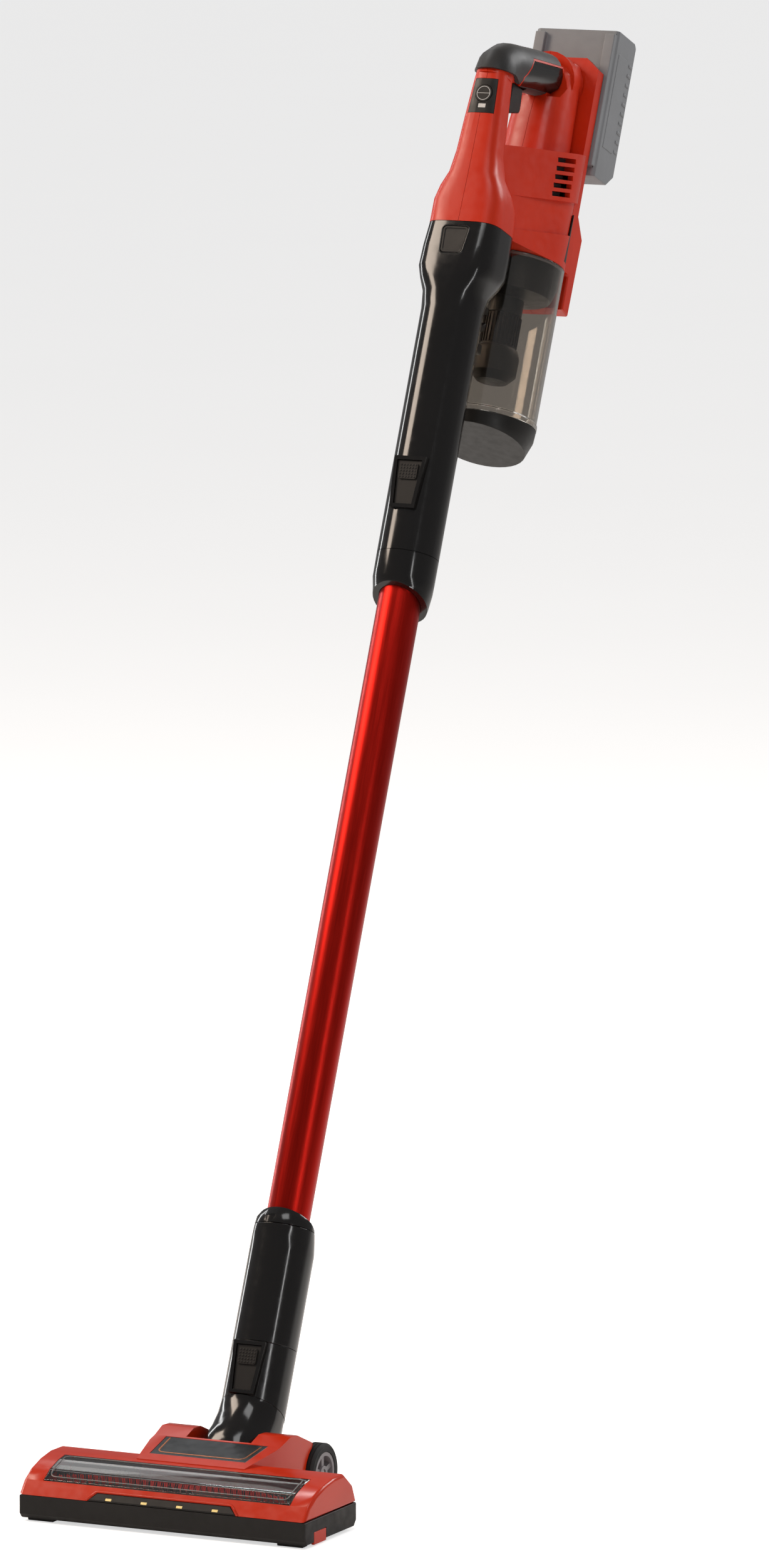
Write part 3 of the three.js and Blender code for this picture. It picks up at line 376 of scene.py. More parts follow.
COPIES = {
    "housing_right": (satin_red, 0.9), "housing_left": (satin_red, 0.9),
    "grip_cover": (soft_grip, 0.8), "grip_insert_left": (gloss_black, 0.5),
    "grip_insert_right": (gloss_black, 0.5), "side_plate_left": (satin_black, 0.5),
    "side_plate_right": (satin_black, 0.5), "control_panel": (dark_grey, 0.5),
    "mode_button": (satin_black, 0.5), "status_light": (status_lamp, 0.3),
    "trigger": (satin_black, 1.2), "battery_rail": (satin_black, 0.4),
    "battery_pack": (battery_grey, 1.2), "battery_latch": (satin_black, 0.6),
    "motor_body": (ground_steel, 0.6), "motor_fan": (dark_grey, 0.4),
    "intake_pipe": (gloss_black, 0.9), "pipe_collar": (gloss_black, 0.8),
    "upper_release_button": (satin_black, 0.5),
    "dust_bin": (smoke_clear, 0.4), "bin_lid": (dark_grey, 0.9), "bin_lever": (gloss_black, 0.6),
    "cyclone_insert": (dark_grey, 0.5), "cyclone_shroud": (satin_black, 0.4),
    "filter_frame": (warm_grey, 0.4), "filter_end_cap": (satin_black, 0.4),
    "lower_socket": (gloss_black, 0.8), "lower_sleeve": (gloss_black, 0.6),
    "sleeve_cap": (gloss_black, 0.8), "lower_release_button": (satin_black, 0.5),
    "neck_elbow": (gloss_black, 0.8),
    "head_base": (satin_black, 0.7), "head_cover": (gloss_red, 1.0), 
    "light_strip": (satin_black, 0.4), "label_plate": (plate_grey, 0.4), "brush_tab": (gloss_red, 0.5),
    "brush_roller": (satin_black, 0.5), "front_foot_left": (satin_black, 0.4),
    "front_foot_right": (satin_black, 0.4), "wheel_hub_left": (warm_grey, 0.4),
    "wheel_hub_right": (warm_grey, 0.4),
}
for node, (material, bevel_mm) in COPIES.items():
    finished_copy(node, material, bevel_mm)
# The window bends gently three times, so its bends are rounded at a much smaller angle than edges.
finished_copy("brush_window", window_clear, 1.6, angle=9.0)

BARE = {
    "brush_motor": ground_steel, "drive_belt": rubber, "roller_pulley": dark_grey, "motor_pulley": dark_grey,
    "wheel_axle_left": ground_steel, "wheel_axle_right": ground_steel, "tilt_pin_left": ground_steel,
    "tilt_pin_right": ground_steel, "light_lens_1": warm_lamp, "light_lens_2": warm_lamp,
    "light_lens_3": warm_lamp, "light_lens_4": warm_lamp,
}
for node, material in BARE.items():
    paint(frame["nodes"][node], material)
print(len(COPIES), "softened copies,", len(BARE), "nodes painted as they are")

# %% [markdown]
# ## Trees that grow repeated parts
# Bristles, pleats, blades, dots and screws all repeat one shape by a rule, which is what Geometry
# Nodes are for. Each tree is built here with named inputs. A small function runs a tree on a seed
# mesh, keeps the result as a plain mesh in the local frame's millimetres, and moves it into place, so
# that no live modifier is left on the piece.

# %% Running a tree
def new_tree(name, inputs):
    """A geometry tree with a Geometry input and output and further named inputs."""
    tree = bpy.data.node_groups.new(name, "GeometryNodeTree")
    tree.interface.new_socket("Geometry", in_out="INPUT", socket_type="NodeSocketGeometry")
    for label, kind in inputs.items():
        tree.interface.new_socket(label, in_out="INPUT", socket_type=f"NodeSocket{kind}")
    tree.interface.new_socket("Geometry", in_out="OUTPUT", socket_type="NodeSocketGeometry")
    return tree, add(tree, "NodeGroupInput").outputs


def close_tree(tree, instances, material):
    """End a tree: real geometry, one material, and the output."""
    real = add(tree, "GeometryNodeRealizeInstances", links={0: instances})
    dressed = add(tree, "GeometryNodeSetMaterial", links={"Geometry": real.outputs[0], "Material": material})
    add(tree, "NodeGroupOutput", links={0: dressed.outputs[0]})


def grow(name, tree, seed_mesh, inputs, board, body, slot, *replaced, smooth=False):
    """Run a tree on a mesh and seat the result as a plain piece."""
    seed = bpy.data.objects.new(f"{name}_seed", seed_mesh)
    bpy.context.scene.collection.objects.link(seed)
    modifier = seed.modifiers.new("Grow", "NODES")
    modifier.node_group = tree
    identifiers = {item.name: item.identifier for item in tree.interface.items_tree
                   if item.item_type == "SOCKET" and item.in_out == "INPUT"}
    for label, value in inputs.items():
        modifier[identifiers[label]] = value
    depsgraph = bpy.context.evaluated_depsgraph_get()
    mesh = bpy.data.meshes.new_from_object(seed.evaluated_get(depsgraph), depsgraph=depsgraph)
    bpy.data.objects.remove(seed)
    mesh.transform(board)
    for polygon in mesh.polygons:
        polygon.use_smooth = smooth
    piece = bpy.data.objects.new(name, mesh)
    bpy.context.scene.collection.objects.link(piece)
    print(name, len(mesh.polygons), "faces")
    return seat(piece, body, slot, *replaced)


def mesh_of(name, vertices, faces):
    """A mesh from lists, with its faces turned outwards."""
    mesh = bpy.data.meshes.new(name)
    mesh.from_pydata(vertices, [], faces)
    shape = bmesh.new()
    shape.from_mesh(mesh)
    bmesh.ops.recalc_face_normals(shape, faces=shape.faces)
    shape.to_mesh(mesh)
    shape.free()
    return mesh


def rounded_block(name, low, high, bevel):
    """A box between two corners with rounded edges, in local millimetres."""
    shape = bmesh.new()
    bmesh.ops.create_cube(shape, size=1.0)
    middle = (Vector(low) + Vector(high)) / 2
    size = Vector(high) - Vector(low)
    for vertex in shape.verts:
        vertex.co = Vector(c * s for c, s in zip(vertex.co, size)) + middle
    if bevel:
        bmesh.ops.bevel(shape, geom=shape.edges[:] + shape.verts[:], offset=bevel, segments=2, profile=0.5,
                        affect="EDGES")
    mesh = bpy.data.meshes.new(name)
    shape.to_mesh(mesh)
    shape.free()
    return mesh


# %% [markdown]
# ## Copies round an axis
# A fan, a toothed cap and a ribbed shroud are one blade, tooth or rib, turned round an axis in equal
# steps. The tree instances the seed on a number of points and turns each instance by its index.

# %% The ring tree
ring_tree, ring_in = new_tree("Copies round an axis", {
    "Count": "Int", "Centre": "Vector", "Axis": "Vector", "Finish": "Material"})
ring_points = add(ring_tree, "GeometryNodePoints", links={"Count": ring_in["Count"]})
ring_copies = add(ring_tree, "GeometryNodeInstanceOnPoints",
                  links={"Points": ring_points.outputs[0], "Instance": ring_in["Geometry"]})
ring_step = add(ring_tree, "ShaderNodeMath", {"operation": "DIVIDE", 0: 2 * math.pi}, {1: ring_in["Count"]})
ring_index = add(ring_tree, "GeometryNodeInputIndex")
ring_angle = add(ring_tree, "ShaderNodeMath", {"operation": "MULTIPLY"},
                 {0: ring_index.outputs[0], 1: ring_step.outputs[0]})
ring_turn = add(ring_tree, "FunctionNodeAxisAngleToRotation",
                links={"Axis": ring_in["Axis"], "Angle": ring_angle.outputs[0]})
ring_turned = add(ring_tree, "GeometryNodeRotateInstances", {"Local Space": False},
                  {"Instances": ring_copies.outputs[0], "Rotation": ring_turn.outputs[0],
                   "Pivot Point": ring_in["Centre"]})
close_tree(ring_tree, ring_turned.outputs[0], ring_in["Finish"])

BIN_AXIS = 92.0
around_bin = {"Centre": (0, BIN_AXIS, 0), "Axis": (0, 0, 1)}
blade = mesh_of("fan_blade", [
    (7, BIN_AXIS - 0.4, 1060.1), (27, BIN_AXIS + 4.6, 1060.1), (27, BIN_AXIS + 5.6, 1060.1),
    (7, BIN_AXIS + 0.6, 1060.1), (7, BIN_AXIS - 0.4, 1063.8), (27, BIN_AXIS + 4.6, 1062.6),
    (27, BIN_AXIS + 5.6, 1062.6), (7, BIN_AXIS + 0.6, 1063.8)],
    [(0, 1, 2, 3), (4, 5, 6, 7), (0, 1, 5, 4), (1, 2, 6, 5), (2, 3, 7, 6), (3, 0, 4, 7)])
grow("fan_blades", ring_tree, blade, {"Count": 11, "Finish": dark_grey, **around_bin}, STICK, "motor_fan",
     "grey_plastic")
tooth = rounded_block("cap_tooth", (17.2, BIN_AXIS - 0.9, 1010.6), (18.7, BIN_AXIS + 0.9, 1013.4), 0.3)
grow("filter_cap_teeth", ring_tree, tooth, {"Count": 36, "Finish": satin_black, **around_bin}, STICK, "filter",
     "black_satin")
rib = rounded_block("shroud_rib", (14.4, BIN_AXIS - 0.5, 959.0), (15.7, BIN_AXIS + 0.5, 984.0), 0.25)
grow("shroud_ribs", ring_tree, rib, {"Count": 30, "Finish": satin_black, **around_bin}, STICK, "dust_unit",
     "black_satin")

# %% [markdown]
# ## The brush
# The roller carries V-shaped rows of nylon tufts, red and black by turns. One tuft is a clump of a few
# tapering bristles. The tree lays tufts along each row, bends the rows into a V by turning them
# with their distance from the middle, points each tuft outwards with a little random splay, and
# gives every other row the second colour.

# %% The bristle tree
bristle_tree, bristle_in = new_tree("Rows of bristles", {
    "Rows": "Int", "Tufts per row": "Int", "Length": "Float", "Core radius": "Float", "Turn": "Float",
    "Splay": "Float", "Centre": "Vector", "Dark": "Material", "Bright": "Material"})
tuft_total = add(bristle_tree, "ShaderNodeMath", {"operation": "MULTIPLY"},
                 {0: bristle_in["Rows"], 1: bristle_in["Tufts per row"]})
tuft_points = add(bristle_tree, "GeometryNodePoints", links={"Count": tuft_total.outputs[0]})
tuft_index = add(bristle_tree, "GeometryNodeInputIndex")
tuft_row = add(bristle_tree, "ShaderNodeMath", {"operation": "DIVIDE"},
               {0: tuft_index.outputs[0], 1: bristle_in["Tufts per row"]})
row_number = add(bristle_tree, "ShaderNodeMath", {"operation": "FLOOR"}, {0: tuft_row.outputs[0]})
row_share = add(bristle_tree, "ShaderNodeMath", {"operation": "FRACT"}, {0: tuft_row.outputs[0]})
centred = add(bristle_tree, "ShaderNodeMath", {"operation": "SUBTRACT", 1: 0.5}, {0: row_share.outputs[0]})
tuft_x = add(bristle_tree, "ShaderNodeMath", {"operation": "MULTIPLY"},
             {0: centred.outputs[0], 1: bristle_in["Length"]})
row_step = add(bristle_tree, "ShaderNodeMath", {"operation": "DIVIDE", 0: 2 * math.pi}, {1: bristle_in["Rows"]})
row_angle = add(bristle_tree, "ShaderNodeMath", {"operation": "MULTIPLY"},
                {0: row_number.outputs[0], 1: row_step.outputs[0]})
off_middle = add(bristle_tree, "ShaderNodeMath", {"operation": "ABSOLUTE"}, {0: centred.outputs[0]})
vee = add(bristle_tree, "ShaderNodeMath", {"operation": "MULTIPLY_ADD"},
          {0: off_middle.outputs[0], 1: bristle_in["Turn"], 2: row_angle.outputs[0]})
out_y = add(bristle_tree, "ShaderNodeMath", {"operation": "COSINE"}, {0: vee.outputs[0]})
out_z = add(bristle_tree, "ShaderNodeMath", {"operation": "SINE"}, {0: vee.outputs[0]})
outward = add(bristle_tree, "ShaderNodeCombineXYZ", links={1: out_y.outputs[0], 2: out_z.outputs[0]})
on_core = add(bristle_tree, "ShaderNodeVectorMath", {"operation": "SCALE"},
              {0: outward.outputs[0], "Scale": bristle_in["Core radius"]})
along = add(bristle_tree, "ShaderNodeCombineXYZ", links={0: tuft_x.outputs[0]})
on_roller = add(bristle_tree, "ShaderNodeVectorMath", {"operation": "ADD"},
                {0: on_core.outputs[0], 1: along.outputs[0]})
tuft_place = add(bristle_tree, "ShaderNodeVectorMath", {"operation": "ADD"},
                 {0: on_roller.outputs[0], 1: bristle_in["Centre"]})
laid_out = add(bristle_tree, "GeometryNodeSetPosition",
               links={"Geometry": tuft_points.outputs[0], "Position": tuft_place.outputs[0]})
jitter = add(bristle_tree, "FunctionNodeRandomValue",
             {"data_type": "FLOAT_VECTOR", "Min": (-1, -1, -1), "Max": (1, 1, 1), "Seed": 7})
splay = add(bristle_tree, "ShaderNodeVectorMath", {"operation": "SCALE"},
            {0: jitter.outputs[0], "Scale": bristle_in["Splay"]})
leaning_out = add(bristle_tree, "ShaderNodeVectorMath", {"operation": "ADD"},
                  {0: outward.outputs[0], 1: splay.outputs[0]})
stand_up = add(bristle_tree, "FunctionNodeAlignRotationToVector", {"axis": "Z"},
               {"Vector": leaning_out.outputs[0]})
tufts = add(bristle_tree, "GeometryNodeInstanceOnPoints",
            links={"Points": laid_out.outputs[0], "Instance": bristle_in["Geometry"],
                   "Rotation": stand_up.outputs[0]})
odd_row = add(bristle_tree, "ShaderNodeMath", {"operation": "MODULO", 1: 2.0}, {0: row_number.outputs[0]})
stored_row = add(bristle_tree, "GeometryNodeStoreNamedAttribute",
                 {"domain": "INSTANCE", "data_type": "FLOAT", "Name": "odd_row"},
                 {"Geometry": tufts.outputs[0], "Value": odd_row.outputs[0]})
real_tufts = add(bristle_tree, "GeometryNodeRealizeInstances", links={0: stored_row.outputs[0]})
all_dark = add(bristle_tree, "GeometryNodeSetMaterial",
               links={"Geometry": real_tufts.outputs[0], "Material": bristle_in["Dark"]})
is_odd = add(bristle_tree, "GeometryNodeInputNamedAttribute", {"data_type": "FLOAT", "Name": "odd_row"})
half_bright = add(bristle_tree, "GeometryNodeSetMaterial",
                  links={"Geometry": all_dark.outputs[0], "Material": bristle_in["Bright"],
                         "Selection": is_odd.outputs[0]})
add(bristle_tree, "NodeGroupOutput", links={0: half_bright.outputs[0]})

# %% Grow the bristles
TUFT_HEIGHT = 6.2
BRISTLE_RADIUS = 0.36
STRANDS_PER_TUFT = 16
draw = random.Random(11)
tuft_vertices, tuft_faces = [], []
for _ in range(STRANDS_PER_TUFT):
    foot = Vector((draw.uniform(-1.5, 1.5), draw.uniform(-0.8, 0.8), 0))
    tip = foot * 1.5 + Vector((0, 0, TUFT_HEIGHT * draw.uniform(0.9, 1.0)))
    base_index = len(tuft_vertices)
    for centre, radius in ((foot, BRISTLE_RADIUS), (tip, BRISTLE_RADIUS * 0.6)):
        for corner in range(3):
            angle = 2 * math.pi * corner / 3
            tuft_vertices.append(centre + Vector((math.cos(angle), math.sin(angle), 0)) * radius)
    b = base_index
    tuft_faces += [(b, b + 2, b + 1), (b + 3, b + 4, b + 5)]
    tuft_faces += [(b + k, b + (k + 1) % 3, b + 3 + (k + 1) % 3, b + 3 + k) for k in range(3)]
tuft = mesh_of("tuft", tuft_vertices, tuft_faces)
grow("brush_bristles", bristle_tree, tuft,
     {"Rows": 6, "Tufts per row": 36, "Length": 205.0, "Core radius": 11.1, "Turn": 2.2, "Splay": 0.12,
      "Centre": (0, 27, 19.5), "Dark": bristle_black, "Bright": bristle_red},
     HEAD, "brush", "bristles", "brush_tufts")

# %% [markdown]
# ## The filter
# The filter's paper is folded into deep pleats and bent into a cone, so that a small part has a large
# area. A grid does this well: one direction runs round the cone and every other column is pulled in,
# and the other direction runs from the toothed cap up to the flange.

# %% The pleat tree
pleat_tree, pleat_in = new_tree("Pleated cone", {
    "Pleats": "Int", "Low radius": "Float", "High radius": "Float", "Depth": "Float", "Low": "Float",
    "High": "Float", "Centre": "Vector", "Finish": "Material"})
columns = add(pleat_tree, "ShaderNodeMath", {"operation": "MULTIPLY_ADD", 1: 2.0, 2: 1.0},
              {0: pleat_in["Pleats"]})
sheet = add(pleat_tree, "GeometryNodeMeshGrid", {"Size X": 1.0, "Size Y": 1.0, "Vertices Y": 5},
            {"Vertices X": columns.outputs[0]})
sheet_place = add(pleat_tree, "GeometryNodeInputPosition")
split = add(pleat_tree, "ShaderNodeSeparateXYZ", links={0: sheet_place.outputs[0]})
around = add(pleat_tree, "ShaderNodeMath", {"operation": "MULTIPLY", 1: 2 * math.pi}, {0: split.outputs[0]})
upward = add(pleat_tree, "ShaderNodeMath", {"operation": "ADD", 1: 0.5}, {0: split.outputs[1]})
along_fold = add(pleat_tree, "ShaderNodeMath", {"operation": "MULTIPLY"},
                 {0: around.outputs[0], 1: pleat_in["Pleats"]})
fold_wave = add(pleat_tree, "ShaderNodeMath", {"operation": "COSINE"}, {0: along_fold.outputs[0]})
fold_depth = add(pleat_tree, "ShaderNodeMath", {"operation": "MULTIPLY"},
                 {0: fold_wave.outputs[0], 1: pleat_in["Depth"]})
cone = add(pleat_tree, "ShaderNodeMapRange",
           links={"Value": upward.outputs[0], "To Min": pleat_in["Low radius"],
                  "To Max": pleat_in["High radius"]})
radius_here = add(pleat_tree, "ShaderNodeMath", {"operation": "ADD"},
                  {0: cone.outputs[0], 1: fold_depth.outputs[0]})
height_here = add(pleat_tree, "ShaderNodeMapRange",
                  links={"Value": upward.outputs[0], "To Min": pleat_in["Low"],
                         "To Max": pleat_in["High"]})
cos_around = add(pleat_tree, "ShaderNodeMath", {"operation": "COSINE"}, {0: around.outputs[0]})
sin_around = add(pleat_tree, "ShaderNodeMath", {"operation": "SINE"}, {0: around.outputs[0]})
pleat_x = add(pleat_tree, "ShaderNodeMath", {"operation": "MULTIPLY"},
              {0: cos_around.outputs[0], 1: radius_here.outputs[0]})
pleat_y = add(pleat_tree, "ShaderNodeMath", {"operation": "MULTIPLY"},
              {0: sin_around.outputs[0], 1: radius_here.outputs[0]})
pleat_place = add(pleat_tree, "ShaderNodeCombineXYZ",
                  links={0: pleat_x.outputs[0], 1: pleat_y.outputs[0], 2: height_here.outputs[0]})
pleat_centred = add(pleat_tree, "ShaderNodeVectorMath", {"operation": "ADD"},
                    {0: pleat_place.outputs[0], 1: pleat_in["Centre"]})
folded = add(pleat_tree, "GeometryNodeSetPosition",
             links={"Geometry": sheet.outputs[0], "Position": pleat_centred.outputs[0]})
welded = add(pleat_tree, "GeometryNodeMergeByDistance", {"Distance": 0.01}, {"Geometry": folded.outputs[0]})
close_tree(pleat_tree, welded.outputs[0], pleat_in["Finish"])

pleats = grow("filter_pleats_folded", pleat_tree, bpy.data.meshes.new("pleat_seed"),
              {"Pleats": 40, "Low radius": 15.9, "High radius": 21.9, "Depth": 1.4, "Low": 1008.4,
               "High": 1044.8, "Centre": (0, BIN_AXIS, 0), "Finish": filter_paper},
              STICK, "filter", "filter_paper", "filter_pleats")
paper = pleats.modifiers.new("Paper thickness", "SOLIDIFY")
paper.thickness = 0.0004
paper.offset = 0.0

# %% [markdown]
# ## The wand tube
# The wand is an extruded tube, so it follows the simplest rule there is: a rectangle, as thick as the
# wall and as tall as the tube, swept round a circle. The same tree makes the pale ring round the
# mode button. The rectangle's corners are filleted first, as a deburred cut end is.

# %% The swept ring tree
tube_tree, tube_in = new_tree("Walled ring", {
    "Radius": "Float", "Wall": "Float", "Height": "Float", "Fillet": "Float", "Segments": "Int",
    "Finish": "Material"})
half_wall = add(tube_tree, "ShaderNodeMath", {"operation": "MULTIPLY", 1: 0.5}, {0: tube_in["Wall"]})
mean_radius = add(tube_tree, "ShaderNodeMath", {"operation": "SUBTRACT"},
                  {0: tube_in["Radius"], 1: half_wall.outputs[0]})
tube_path = add(tube_tree, "GeometryNodeCurvePrimitiveCircle", links={"Resolution": tube_in["Segments"],
                "Radius": mean_radius.outputs[0]})
tube_wall = add(tube_tree, "GeometryNodeCurvePrimitiveQuadrilateral",
                links={"Width": tube_in["Wall"], "Height": tube_in["Height"]})
deburred = add(tube_tree, "GeometryNodeFilletCurve", {"mode": "POLY", "Count": 3, "Limit Radius": True},
               {"Curve": tube_wall.outputs[0], "Radius": tube_in["Fillet"]})
swept = add(tube_tree, "GeometryNodeCurveToMesh",
            links={"Curve": tube_path.outputs[0], "Profile Curve": deburred.outputs[0]})
close_tree(tube_tree, swept.outputs[0], tube_in["Finish"])


def walled_ring(name, radius, wall, height, fillet, place, finish, body, slot, *replaced, segments=96):
    """A ring or tube of the given size, centred on a place in a local frame."""
    piece = grow(name, tube_tree, bpy.data.meshes.new(f"{name}_start"),
                 {"Radius": radius, "Wall": wall, "Height": height, "Fillet": fillet, "Segments": segments,
                  "Finish": finish}, place, body, slot, *replaced, smooth=True)
    piece.data.set_sharp_from_angle(angle=math.radians(40))
    return piece


TUBE_BOTTOM, TUBE_TOP = 112.0, 788.0
walled_ring("wand_tube_drawn", 17.5, 1.3, TUBE_TOP - TUBE_BOTTOM, 0.3,
            STICK @ Matrix.Translation((0, 0, (TUBE_BOTTOM + TUBE_TOP) / 2)), anodised_red, "wand", "red_tube",
            "wand_tube")

# %% [markdown]
# ## Copies along a line
# Dark blocks of painted shade in the vent slots, battery ribs and charge lamps are rows of one part at an even
# pitch. The tree is the
# straight sister of the ring tree: each instance is moved by its index times one step.

# %% The row tree
row_tree, row_in = new_tree("Copies along a line", {"Count": "Int", "Step": "Vector", "Finish": "Material"})
row_points = add(row_tree, "GeometryNodePoints", links={"Count": row_in["Count"]})
row_copies = add(row_tree, "GeometryNodeInstanceOnPoints",
                 links={"Points": row_points.outputs[0], "Instance": row_in["Geometry"]})
row_index = add(row_tree, "GeometryNodeInputIndex")
row_shift = add(row_tree, "ShaderNodeVectorMath", {"operation": "SCALE"},
                {0: row_in["Step"], "Scale": row_index.outputs[0]})
row_moved = add(row_tree, "GeometryNodeTranslateInstances", {"Local Space": False},
                {"Instances": row_copies.outputs[0], "Translation": row_shift.outputs[0]})
close_tree(row_tree, row_moved.outputs[0], row_in["Finish"])


def joined(name, meshes):
    """Several meshes as one."""
    shape = bmesh.new()
    for mesh in meshes:
        shape.from_mesh(mesh)
    whole = bpy.data.meshes.new(name)
    shape.to_mesh(whole)
    shape.free()
    return whole


# A near-black matt block at the bottom of each exhaust slot is painted shade, which keeps the slots black.
VENT_SLOPE, VENT_PITCH = 0.25, 7.2
slot_shade_fills = joined("vent_slot_shade", [
    rounded_block("slot_shade_block", (min(side * 32.3, side * 33.8), -10.7, -1.7),
                  (max(side * 32.3, side * 33.8), 10.7, 1.7), 0.2) for side in (-1, 1)])
slot_shade_fills.transform(Matrix.Translation((0, 76, 1085.5)) @ Matrix.Rotation(math.atan(VENT_SLOPE), 4, "X"))
grow("vent_linings", row_tree, slot_shade_fills, {"Count": 5, "Step": (0, 0, VENT_PITCH), "Finish": vent_shade_fill}, STICK,
     "hand_unit", "black_satin")

# %% [markdown]
# ## The battery's details
# The battery's flat sides carry a raised label field, left blank here, and a column of short ribs
# that fingers pull on. On its back, four charge lamps sit in a dark strip.

# %% Battery details
def both_sides(name, low, high, bevel):
    """A block on the +X side and its mirror image, as one mesh."""
    (x0, y0, z0), (x1, y1, z1) = low, high
    return joined(name, [rounded_block(name, low, high, bevel),
                         rounded_block(name, (-x1, y0, z0), (-x0, y1, z1), bevel)])


def plain_piece(name, mesh, material, board, body, slot, *replaced, bevel_mm=0.0):
    """A mesh in a local frame as a seated piece, with rounded edges if asked."""
    mesh.transform(board)
    piece = bpy.data.objects.new(name, mesh)
    bpy.context.scene.collection.objects.link(piece)
    paint(piece, material)
    if bevel_mm:
        mesh.shade_smooth()
        soften(piece, bevel_mm)
    return seat(piece, body, slot, *replaced)


plain_piece("battery_label_fields", both_sides("label_field", (37.0, 141, 1148), (38.0, 160, 1228), 0.4),
            battery_grey, STICK, "battery", "battery_shell")
grow("battery_ribs", row_tree, both_sides("battery_rib", (37.0, 162.5, 1150), (38.2, 169.5, 1152.6), 0.5),
     {"Count": 10, "Step": (0, 0, 8.2), "Finish": battery_grey}, STICK, "battery", "battery_shell", smooth=True)
plain_piece("battery_gauge", rounded_block("gauge", (-15, 178.6, 1150), (15, 179.6, 1158), 0.4), satin_black,
            STICK, "battery", "black_satin")
grow("battery_gauge_lamps", row_tree,
     rounded_block("gauge_lamp", (-10.6, 179.3, 1152.6), (-7.4, 180.0, 1155.4), 0.3),
     {"Count": 4, "Step": (6, 0, 0), "Finish": status_lamp}, STICK, "battery", "lens")

# %% [markdown]
# ## Buttons
# The mode button has a pale printed ring with a line across it. The button that frees the dust unit
# has round corners and a dished face, inside a raised lip of the same black. Both outlines are cut
# from one function, which returns a tapered rounded outline, grown by any amount.

# %% Mode button and dust unit button
walled_ring("mode_button_ring", 5.9, 0.5, 0.3, 0.1,
            STICK @ Matrix.Translation((0, -14.95, 1140)) @ Matrix.Rotation(math.pi / 2, 4, "X"), pale_print,
            "mode_button", "black_satin", segments=48)
plain_piece("mode_button_bar", rounded_block("mode_bar", (-5.5, -15.05, 1139.8), (5.5, -14.8, 1140.2), 0.06),
            pale_print, STICK, "mode_button", "black_satin")


def tapered_outline(low, high, low_half, high_half, radius, grow_by=0.0, steps=6):
    """Points of a trapezium with round corners, as (x, t), counter-clockwise from the lower right."""
    corners = [(low_half, low, -90), (high_half, high, 0), (-high_half, high, 90), (-low_half, low, 180)]
    points = []
    for x, t, start in corners:
        centre_x = x - math.copysign(radius, x)
        centre_t = t + radius if t == low else t - radius
        for step in range(steps + 1):
            angle = math.radians(start + 90 * step / steps)
            reach = radius + grow_by
            points.append((centre_x + reach * math.cos(angle), centre_t + reach * math.sin(angle)))
    return points


def block_front(t):
    """The b of the black block's front face at a height on the stick."""
    return -21.6 + (t - 1010) * 0.13


button_outline = tapered_outline(1002.5, 1025, 9.4, 11, 3.0)
dish_outline = tapered_outline(1002.5, 1025, 9.4, 11, 3.0, -1.4)
rings = [[(x, -18.6, t) for x, t in button_outline],
         [(x, block_front(t) - 0.2, t) for x, t in button_outline],
         [(x, block_front(t) - 0.2, t) for x, t in dish_outline],
         [(x * 0.93, block_front(t) + 0.35, 1013.8 + (t - 1013.8) * 0.93) for x, t in dish_outline]]


def stacked(name, loops, caps=True):
    """A skin over matching loops of points, closed at both ends or onto itself."""
    size = len(loops[0])
    vertices = [point for loop in loops for point in loop]
    rows = len(loops) - 1 if caps else len(loops)
    faces = [(row * size + k, row * size + (k + 1) % size, (row + 1) % len(loops) * size + (k + 1) % size,
              (row + 1) % len(loops) * size + k) for row in range(rows) for k in range(size)]
    if caps:
        faces += [tuple(range(size)), tuple(range((len(loops) - 1) * size, len(loops) * size))]
    return mesh_of(name, vertices, faces)


plain_piece("dust_unit_button_dished", stacked("dished_button", rings), satin_black, STICK, "dust_unit_button",
            "black_satin", "dust_unit_button", bevel_mm=0.35)
inner_lip = tapered_outline(1002.5, 1025, 9.4, 11, 3.0, 0.45)
outer_lip = tapered_outline(1002.5, 1025, 9.4, 11, 3.0, 2.3)
lip_loops = [[(x, block_front(t) + 0.5, t) for x, t in inner_lip],
             [(x, block_front(t) - 0.55, t) for x, t in inner_lip],
             [(x, block_front(t) - 0.55, t) for x, t in tapered_outline(1002.5, 1025, 9.4, 11, 3.0, 1.5)],
             [(x, block_front(t) + 0.5, t) for x, t in outer_lip]]
plain_piece("dust_unit_button_lip", stacked("button_lip", lip_loops, caps=False), gloss_black, STICK,
            "dust_unit", "black_gloss", bevel_mm=0.25)

# %% [markdown]
# ## Grip dots
# The wand's two release buttons have a raised pad with rows of small domes, so that a thumb holds
# them. A grid of points carries one low dome each; the grid's size and counts are inputs.

# %% The dot tree
dot_tree, dot_in = new_tree("Grid of domes", {
    "Columns": "Int", "Rows": "Int", "Width": "Float", "Height": "Float", "Finish": "Material"})
dot_grid = add(dot_tree, "GeometryNodeMeshGrid", links={
    "Vertices X": dot_in["Columns"], "Vertices Y": dot_in["Rows"], "Size X": dot_in["Width"],
    "Size Y": dot_in["Height"]})
dot_copies = add(dot_tree, "GeometryNodeInstanceOnPoints",
                 links={"Points": dot_grid.outputs[0], "Instance": dot_in["Geometry"]})
close_tree(dot_tree, dot_copies.outputs[0], dot_in["Finish"])


